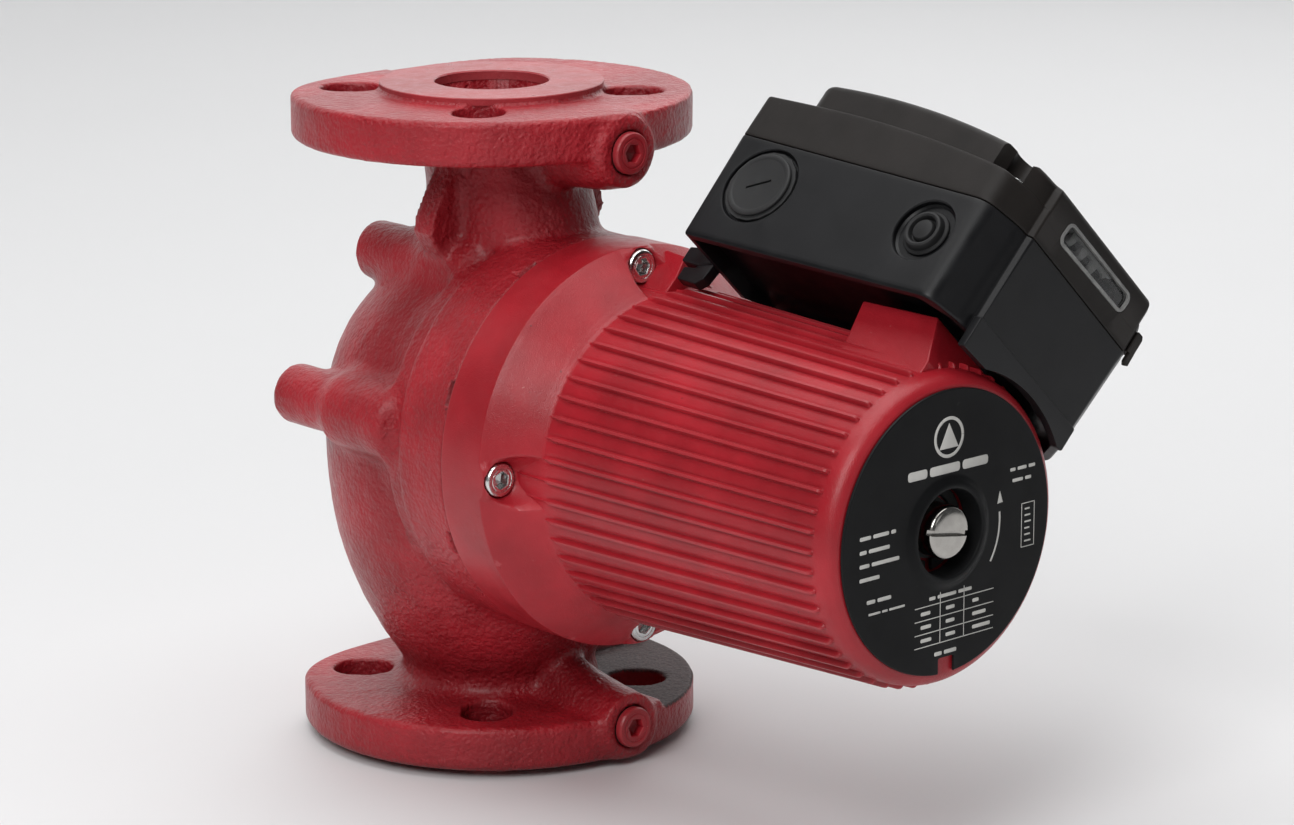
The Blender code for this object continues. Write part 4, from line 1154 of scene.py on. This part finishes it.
# =================================================================== nameplate
badge = lathe("nameplate_disc", [
    (15.3, 231.6), (15.3, 239.6), (15.55, 240.3), (16.1, 240.7), (16.9, 240.75), (17.8, 240.45),
    (18.7, 239.85), (19.6, 239.35), (20.6, 239.12), (49.4, 239.12), (49.85, 238.95),
    (50.0, 238.6), (50.0, 238.15), (17.4, 238.15), (16.0, 237.9), (15.85, 231.6),
], MOTOR, 160)
notch = rounded(rectangle(-3.9, -60, 3.9, -44.0), [0, 0, 0.8, 0.8], 4)
boolean(badge, [cutter(notch, [(236, 0), (242, 0)], MOTOR)])
finish_piece(badge, ROOT, FOIL, "plate_foil", "nameplate", sharp=30)

well = lathe("nameplate_well", [
    (11.7, 228.8), (15.1, 228.8), (15.5, 229.1), (15.5, 229.9), (15.1, 230.2), (12.0, 230.2),
    (11.7, 229.9),
], MOTOR, 96)
boolean(well, [cutter(rectangle(-1.6, -18, 1.6, -10), [(226, 0), (236, 0)], MOTOR)])
finish_piece(well, ROOT, DARK, "plate_foil", sharp=30)

# the print: a table, dashes in place of words, a turning arrow and a plain pump symbol
ink = []


def print_shape(outline, bevel=0.03):
    ink.append(slab("ink", outline, 239.02, 239.2, MOTOR, bevel))


def bar(x0, x1, y, width):
    print_shape(rounded(rectangle(x0, y - width / 2, x1, y + width / 2), width * 0.3, 2))


def upright(x, y0, y1, width):
    print_shape(rectangle(x - width / 2, y0, x + width / 2, y1))


def ring_print(cy, radius, width, start, end, steps):
    outer = arc(0, cy, radius + width / 2, start, end, steps)
    inner = arc(0, cy, radius - width / 2, start, end, steps)
    print_shape(outer + inner[::-1], bevel=0.02)


def dashes(x, y, lengths, height, gap=1.1):
    for length in lengths:
        bar(x, x + length, y, height)
        x += length + gap


# pump symbol: a circle with a triangle in it
for start in (0, 120, 240):
    ring_print(33.5, 6.6, 1.15, start + 0.5, start + 119.5, 20)
print_shape([(-4.6, 29.6), (0, 38.4), (4.6, 29.6)])
# title and left side: x, y, lengths, height, gap
for row in (
    (-19.5, 22.6, (9.2, 14.5, 12.4), 3.3, 1.3),
    (-42, 5.4, (5.2, 7.4, 2.2), 1.35),
    (-42, 0.6, (3.2, 9.8), 1.35),
    (-42, -4.2, (4.6, 13.0), 1.35),
    (-42, -9.0, (9.4,), 1.35),
    (-38.5, -17.2, (4.0, 6.4), 1.35),
    (-37.6, -21.6, (5.6, 2.6, 7.4), 0.8, 0.8),
):
    dashes(*row)
# table
for y in (-24.2, -29.0, -33.8, -38.4):
    bar(-15.5, 23.0, y, 0.32)
for x in (-3.2, 8.4):
    upright(x, -38.4, -20.4, 0.32)
for row, lengths in enumerate(((4.6, 4.2, 3.0), (5.0, 4.2, 6.6), (5.2, 4.6, 8.8))):
    for x, length in zip((-12.6, -0.4, 12.6), lengths):
        dashes(x, -26.6 - 4.75 * row, (length,), 1.3)
dashes(-8.6, -21.9, (3.0, 9.0, 6.5), 1.25)
dashes(-5.8, -42.2, (3.6, 6.0), 1.4)
# marks and a small frame at the right edge
dashes(30.4, 16.4, (2.6, 4.4, 3.2), 1.2)
dashes(31.6, 12.4, (5.2, 3.0), 1.2)
for y in (-12.3, 3.3):
    bar(36.4, 42.9, y, 0.3)
for x in (36.5, 42.8):
    upright(x, -12.3, 3.3, 0.3)
for k in range(6):
    bar(38.0, 41.2 - 0.35 * (k % 3), -10.3 + 2.3 * k, 0.6)
# arrow for the way the shaft turns
ring_print(0, 25.5, 0.75, -34, 6, 24)
print_shape([(24.2, 5.6), (25.4, 10.0), (26.9, 5.8)])
finish_piece(join("nameplate_print", ink), ROOT, PRINT, "plate_foil")


# ================================================================ terminal box
# heights over the motor axis, by x in BOX
def seam(x):
    return 99.6 - 0.03 * (x - 112)


def ledge(x):
    return 117.6 - 7.0 * ((x - 140) / 85) ** 2 if x > 140 else 117.6 - 2.0 * ((x - 140) / 85) ** 2


def crown(x):
    return 129.3 - 11.8 * ((x - 150) / 88) ** 2


def above(curve, by):
    return lambda x: curve(x) + by


OUTLINE = Corners(
    [
        (111.5, -66.6), (230.5, -59.7), (236.9, -46.5), (237.5, -41.8), (240, -40.6), (240, 26),
        (236, 31), (221, 45), (215, 48), (111.5, 52.6),
    ],
    [2.4, 9, 12, 0.8, 1.2, 3.0, 2.5, 7, 7, 2.4], 8,
)
INNER = Corners(
    [
        (111.5, -66.3), (226, -60), (236.2, -49), (239.6, -36), (240, 27), (219, 46.5),
        (111.5, 52.4),
    ],
    [2, 9, 7, 2, 2, 7, 2], 5,
)

base = loft("terminal_box_tray", OUTLINE, [
    (56.0, 2.5), (56.15, 2.05), (56.55, 1.7), (57.1, 1.5), (58.6, 1.45),
    (above(seam, -2.2), 0.06), (above(seam, -0.55), 0.0), (above(seam, -0.2), 0.1), (seam, 0.45),
], BOX, rings=4)
apron = rounded([(-41.4, 49.6), (26, 52.3), (26, 62), (-41.4, 62)], 0.8, 3)
boolean(base, [slab("apron", apron, 236.4, 239.9, FRONT, 0.5)], "UNION")
# the hollow, the space under the floor, the rebate at the seam
for levels in (
    [(64.4, 4.8), (above(seam, 5), 4.0)],
    [(40, 4.4), (61.8, 4.4)],
    [(above(seam, -1.0), 1.9), (above(seam, 6), 1.9)],
):
    boolean(base, [cutter(INNER, levels, BOX)])
# room for the motor's barrel
arch = [(0, 86), (barrel(86) + 2.1, 86), (barrel(240) + 2.1, 241), (0, 241)]
boolean(base, [lathe("cut", arch, MOTOR, 128)])
# two-part hooks at the rear and tongues further forwards, outlined in SIDE
HOOK_ARM = [(97.4, 55.3), (106.0, 54.9), (115, 57.4), (115, 64), (107, 62.8), (97.4, 61.6)]
HOOK_TOE = [
    (99.6, 48.2), (109.4, 47.6), (112.2, 50.4), (113.4, 58.5), (106.6, 58), (105.2, 54.0),
    (99.6, 53.6),
]
hooks = []
for z in (-45.4, 29.4):
    hooks.append(slab("hook", rounded(HOOK_ARM, 0.7, 3), z, z + 6.0, SIDE, 0.5))
    hooks.append(slab("hook", rounded(HOOK_TOE, 0.7, 3), z + 0.7, z + 5.3, SIDE, 0.5))
tongue = rounded(rectangle(196, 57.9, 215, 62.8), 0.4, 2)
hooks += [slab("tongue", tongue, z, z + 14, SIDE, 0.3) for z in (-34.0, 22.0)]
for hook in hooks:
    boolean(base, [hook], "UNION")
# screw holes and the hole for the leads
floor_holes = [cylinder(2.4, 50, 70, BOX, 24, centre) for centre in BOX_SCREWS]
boolean(base, floor_holes + [cylinder(9.0, 50, 70, BOX, 40, (180, 0))])

# the wall on the -y side leans, and turns slightly from the x axis
WALL_TURN = math.atan2(6.2, 108.5)
WALL_OUT = (math.sin(WALL_TURN), -math.cos(WALL_TURN), -0.035)


def on_wall(x, z):
    y = -66.4 + (x - 113.5) * math.tan(WALL_TURN) + 1.5 * (99.6 - z) / 43.6
    return inside(BOX, (x, y, z), WALL_OUT)


CABLE_ENTRY, GROMMET = on_wall(133.5, 81.2), on_wall(212.3, 79.6)
boolean(base, [lathe("cut", [
    (0, -10), (11.6, -10), (11.6, -1.7), (14.9, -1.7), (15.4, -1.2), (15.4, -0.35), (15.8, 0.15),
    (15.8, 5), (0, 5),
], CABLE_ENTRY, 96)])
boolean(base, [lathe("cut", [
    (0, -10), (5.2, -10), (5.2, -2.6), (11.0, -2.6), (11.8, -2.0), (12.0, -0.4), (12.5, 0.2),
    (12.5, 5), (0, 5),
], GROMMET, 96)])
finish_piece(base, ROOT, BASE_BLACK, "black_box_plastic", "terminal_box_base", sharp=30)

plug = lathe("cable_entry_disc", [
    (0, -9), (10.3, -9), (11.1, -8.2), (11.1, -0.1), (12.6, -0.1), (12.85, 0.2), (12.85, 0.75),
    (12.6, 1.1), (12.0, 1.25), (10.8, 1.15), (10.5, 1.0), (0, 1.0),
], CABLE_ENTRY, 96)
groove = rounded(rectangle(-5.2, -0.5, 5.2, 0.5), 0.2, 2)
groove_frame = CABLE_ENTRY @ Matrix.Rotation(math.radians(28), 4, "Z")
boolean(plug, [cutter(groove, [(0.1, 0), (5, 0)], groove_frame)])
finish_piece(plug, "cable_entry_plug", PLUG_BLACK, "black_box_plastic", "cable_plug", sharp=28)
grommet = lathe("wire_grommet_lip", [
    (0, -5), (3.6, -5), (4.9, -3.4), (4.9, -2.4), (8.6, -2.4), (8.9, -2.0), (8.6, -1.6),
    (7.6, -1.4), (7.3, 0.2), (6.9, 0.9), (6.2, 1.1), (5.5, 0.8), (5.2, 0.1), (4.9, -0.9),
    (4.4, -1.0), (4.2, 0.1), (3.7, 0.75), (2.4, 1.05), (0, 1.15),
], GROMMET, 80)
finish_piece(grommet, ROOT, RUBBER, "seal_rubber", "wire_grommet")

# ------------------------------------------------------------------------- lid
RAISED = Corners(
    [
        (126.2, -56.5), (133.5, -63.0), (228.0, -58.3), (235.9, -46.8), (236.9, -41.6),
        (240.05, -40.4), (240.05, 25.2), (235.6, 30.2), (220.6, 43.6), (213, 46.6), (134, 49.6),
        (126.2, 42),
    ],
    [6, 7, 9, 12, 0.8, 1.3, 1.5, 3, 7, 8, 7, 7], 8,
)
RAISED_IN = Corners(
    [
        (126.5, -61), (150, -62.8), (190, -60), (214, -51.5), (238.4, -36.8), (238.4, 19),
        (214, 24), (204, 40), (150, 49), (126.5, 47),
    ],
    [3] * 10, 3,
)
POCKET = Corners(
    [
        (220.8, -66), (222.4, -56), (223.8, -49.6), (227.4, -46.6), (231.2, -48.6), (233.4, -54),
        (234.2, -66),
    ],
    [0.5, 3, 3, 3, 3, 2, 0.5], 5,
)
WINDOW = rounded([(-30.6, 102.2), (14.9, 103.5), (15.7, 112.3), (-29.9, 112.0)], 3.4, 8)
DOME_EDGE = 2.6  # radius of the dome's rounded edge
LID_SCREWS = [(117.6, -58.4), (227.5, -49.8), (224.4, 31.4), (119.5, 44.2)]

lid = loft("terminal_box_cover", OUTLINE, [
    (above(seam, 0.3), 0.4), (above(seam, 0.5), 0.1), (above(seam, 0.8), 0.0),
    (above(seam, 2.2), 0.0), (above(ledge, -2.6), 0.0), (above(ledge, -1.1), 0.0),
    (above(ledge, -0.5), 0.12), (above(ledge, -0.15), 0.45), (ledge, 0.95),
], BOX, rings=8)
levels = [(104, 0.0), (above(crown, -DOME_EDGE - 1.6), 0.0), (above(crown, -DOME_EDGE), 0.0)]
for angle in map(math.radians, (20, 40, 60, 75, 90)):
    rise = -DOME_EDGE + DOME_EDGE * math.sin(angle)
    levels.append((above(crown, rise), DOME_EDGE * (1 - math.cos(angle))))
dome = loft("dome", RAISED, levels, BOX, rings=14)
# a pocket round the front screw on the -y side, open towards the corner
boolean(dome, [cutter(POCKET, [(above(ledge, -0.02), 0), (140, 0)], BOX, rings=3)])
boolean(lid, [dome], "UNION")
# the hollow of the rim, that of the dome, the rebate at the seam, the window
boolean(lid, [cutter(INNER, [(85, 4.1), (105, 4.1)], BOX)])
boolean(lid, [cutter(RAISED_IN, [(98, 4.6), (above(crown, -3.0), 4.6)], BOX, rings=8)])
boolean(lid, [cutter(INNER, [(80, 1.8), (above(seam, 1.9), 1.8)], BOX)])
boolean(lid, [cutter(WINDOW, [(225, 0), (250, 0)], FRONT)])
# a small tab at the front corner on the +y side, hanging over the seam
TAB = [(27.6, 97.2), (31.4, 97.2), (31.4, 104.2), (30.4, 105.6), (27.6, 105.6)]
TAB_TIP = [(29.0, 93.8), (30.2, 92.6), (31.6, 93.4), (31.4, 98.4), (29.0, 98.4)]
boolean(lid, [
    slab("tab", rounded(TAB, 0.5, 3), 235.2, 240.2, FRONT, 0.4),
    slab("tab", rounded(TAB_TIP, 0.4, 3), 238.4, 240.2, FRONT, 0.3),
], "UNION")
for centre in LID_SCREWS:
    low, top = seam(centre[0]) + 2.3, ledge(centre[0])
    boolean(lid, [cylinder(5.0, low, top - 1.0, BOX, 40, centre)], "UNION")
    boolean(lid, [lathe("cut", [
        (0, 90), (2.5, 90), (2.5, top - 3.4), (5.0, top - 3.4), (5.0, top - 0.3),
        (5.2, top + 0.1), (5.2, 140), (0, 140),
    ], BOX, 48, centre)])
finish_piece(lid, "lid", LID_BLACK, "black_box_plastic", "terminal_box_lid", sharp=30)

# window: a pale rim, a clear pane, and what shows behind it
rim_levels = [(237.2, 0), (239.9, 0), (240.25, 0.1), (240.4, 0.4), (240.4, 0.75)]
rim = loft("rim", offset(WINDOW, 0.12), rim_levels, FRONT)
boolean(rim, [cutter(offset(WINDOW, 1.5), [(230, 0), (245, -0.12)], FRONT)])
finish_piece(rim, "lid", WINDOW_RIM, "window_plastic", sharp=35)
rim.name = "lid_window_rim"
pane = slab("lid_window_pane", offset(WINDOW, 1.58), 238.5, 239.5, FRONT, 0.1)
finish_piece(pane, "lid", WINDOW_CLEAR, "window_plastic", "lid_window")
back = slab("lid_window_back", offset(WINDOW, -1.2), 233.2, 234.2, FRONT, 0.2)
finish_piece(back, "lid", DARK, "dark_inner_plastic")
comb = slab("contact_comb", [
    (-27.5, 111.4), (-25, 108.6), (-22.6, 110.6), (-21.8, 107.4), (-19.6, 107.6), (-18.8, 110.2),
    (-15.6, 110.0), (-14.6, 107.2), (-12.2, 107.4), (-11.4, 109.8), (-8.2, 109.6), (-7.2, 106.8),
    (-5.0, 107.0), (-4.2, 109.6), (-1.0, 109.4), (0.2, 108.4), (1.6, 109.8), (3.4, 110.2),
    (5.0, 111.6),
], 235.6, 236.8, FRONT, 0.12)
finish_piece(comb, "lid", COMB, "grey_inner_plastic")
stud = lathe("contact_stud", [
    (0, 234.5), (2.5, 234.5), (2.5, 236.2), (2.2, 236.6), (1.4, 236.7), (1.2, 236.1), (0, 236.1)
], FRONT, 40, centre=(8.4, 107.2))
finish_piece(stud, "lid", RUBBER, "seal_rubber")

# lid screws: pan heads with a slot
for k, (x, y) in enumerate(LID_SCREWS, 1):
    top = ledge(x)
    screw = lathe(f"cover_screw_{k}", [
        (0, 80), (1.7, 80), (2.1, 81), (2.1, top - 3.1), (4.3, top - 3.1), (4.55, top - 2.8),
        (4.55, top - 0.4), (4.3, top + 0.25), (3.6, top + 0.7), (2.4, top + 0.95), (0, top + 1.05),
    ], BOX, 48, centre=(x, y))
    slot = rectangle(x - 6, y - 0.55, x + 6, y + 0.55)
    boolean(screw, [cutter(slot, [(top - 0.5, 0), (top + 5, 0)], BOX)])
    body = f"lid_screw_body_{k}"
    finish_piece(screw, body, ZINC, "zinc_screw_steel", f"lid_screw_{k}", sharp=30)

# ============================================== carried-over pieces' materials
LOOKS = [
    (RUBBER, "box_gasket housing_gasket cable_grommet cable_plug_seal vent_screw_seal"),
    (RUBBER, "gauge_seal_lower gauge_seal_upper"),
    (DARK, "lead_cable"),
    (GREY, "terminal_block contact_module"),
    (BLUE, "speed_switch"),
    (BRASS, "earth_screw"),
    (ZINC, "box_screw_1 box_screw_2"),
    (BRASS, "terminal_screw_1 terminal_screw_2 terminal_screw_3 terminal_screw_4"),
    (STAINLESS, "impeller impeller_nut neck_ring shaft rotor bearing_plate rotor_can"),
    (CERAMIC, "front_bearing rear_bearing"),
    (CARBON, "thrust_collar"),
    (LAMINATE, "stator_core"),
    (COPPER, "winding_front winding_rear"),
]
for look, names in LOOKS:
    for name in names.split():
        node = NODES[name]
        if not node.material_slots:
            node.data.materials.append(look)
        for material_slot in node.material_slots:
            material_slot.material = look

# ======================================================================= stage
# From here on, lengths are metres.
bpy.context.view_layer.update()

# a pale sheet that runs along the floor and turns up behind
LOOK_DIR, SIDE_DIR = np.array([0.6469, 0.7223]), np.array([0.7223, -0.6469])
TURN_START, TURN_RADIUS, SHEET_END = 1.9, 0.9, 2.8
run = [(-3.2, 0.0), (-1.2, 0.0), (0.3, 0.0)]  # distance along LOOK_DIR, height
for i in range(13):
    angle = math.radians(90 * i / 12)
    away = TURN_START + TURN_RADIUS * math.sin(angle)
    run.append((away, TURN_RADIUS * (1 - math.cos(angle))))
run.append((SHEET_END, 3.4))
sheet_verts, sheet_faces = [], []
for away, z in run:
    for across in (-4.5, -1.5, 1.5, 4.5):
        sheet_verts.append((*(LOOK_DIR * away + SIDE_DIR * across), z - 0.0002))
for k in range(len(run) - 1):
    for j in range(3):
        sheet_faces.append((4 * k + j, 4 * k + j + 1, 4 * k + j + 5, 4 * k + j + 4))
mesh = bpy.data.meshes.new("floor_sheet")
mesh.from_pydata(sheet_verts, [], sheet_faces)
floor_sheet = link_object("floor_sheet", mesh)
for polygon in mesh.polygons:
    polygon.use_smooth = True


def paper_material():
    mat = Nodes("floor_paper")
    tone = (0.74, 0.74, 0.745)
    cloud = mat.noise(size=400, detail=2, span=(0.3, 0.7))
    mat.set(color=mat.mix(cloud, tone, scaled(tone, 0.985)), rough=0.6)
    # the far end glows a little, as if a second lamp hung over it
    place_on = mat.add("ShaderNodeTexCoord").outputs["Object"]
    along = mat.add("ShaderNodeVectorMath", operation="DOT_PRODUCT")
    mat.put(along.inputs[0], place_on)
    mat.put(along.inputs[1], (*LOOK_DIR, 0.0))
    glow = mat.add("ShaderNodeValToRGB")
    stops = glow.color_ramp.elements
    stops[0].position, stops[0].color = 0.14, (0, 0, 0, 1)
    stops[-1].position, stops[-1].color = 1.0, (0.92, 0.92, 0.92, 1)
    for position, value in ((0.68, 0.05), (0.80, 0.15)):
        stops.new(position).color = (value, value, value, 1)
    mat.put(glow.inputs["Fac"], mat.math("DIVIDE", along.outputs["Value"], SHEET_END))
    mat.put(mat.shader.inputs["Emission Color"], (1, 1, 1))
    mat.put(mat.shader.inputs["Emission Strength"], glow.outputs["Color"])
    return mat.material


mesh.materials.append(paper_material())

world = bpy.data.worlds.new("studio")
world.use_nodes = True
background = world.node_tree.nodes["Background"]
background.inputs["Color"].default_value = (0.95, 0.97, 1.0, 1)
background.inputs["Strength"].default_value = 0.09
bpy.context.scene.world = world


def softbox(name, at, power, size, aim=(0.0, -0.06, 0.13)):
    light = bpy.data.lights.new(name, "AREA")
    light.shape = "RECTANGLE"
    light.size, light.size_y = size
    light.energy = power
    obj = link_object(name, light)
    obj.location = at
    obj.rotation_euler = (Vector(aim) - Vector(at)).to_track_quat("-Z", "Y").to_euler()


softbox("overhead", at=(0.05, 0.20, 2.05), power=34, size=(2.1, 1.9), aim=(0.10, 0.20, 0.0))
softbox("left_front", at=(-1.55, -0.75, 1.45), power=24, size=(1.0, 1.1))
softbox("right_back", at=(1.5, 0.7, 1.1), power=4, size=(0.9, 1.2))
softbox("camera_side", at=(0.1, -2.1, 0.9), power=1.2, size=(0.9, 0.9))

camera_data = bpy.data.cameras.new("camera")
camera_data.sensor_width = 36.0
camera_data.lens = 116.3063907
camera_data.shift_x, camera_data.shift_y = -0.00161993818, -0.0011620556
camera_data.clip_start, camera_data.clip_end = 0.05, 50
azimuth, elevation, roll = (math.radians(v) for v in (-41.84717, 14.15894, -0.23195))
level = math.cos(elevation)
back_dir = Vector((math.sin(azimuth) * level, -math.cos(azimuth) * level, math.sin(elevation)))
right_dir = (-back_dir).cross(Vector((0, 0, 1))).normalized()
up_dir = right_dir.cross(-back_dir)
right = right_dir * math.cos(roll) + up_dir * math.sin(roll)
upward = -right_dir * math.sin(roll) + up_dir * math.cos(roll)
camera = bpy.data.objects.new("camera", camera_data)
camera_at = Matrix.Translation((-0.986427, -1.157861, 0.511486))
camera.matrix_world = camera_at @ axes_along(right, upward, back_dir)
bpy.context.scene.collection.objects.link(camera)
bpy.context.scene.camera = camera
bpy.context.scene.view_settings.view_transform = "Standard"
bpy.context.scene.view_settings.look = "None"
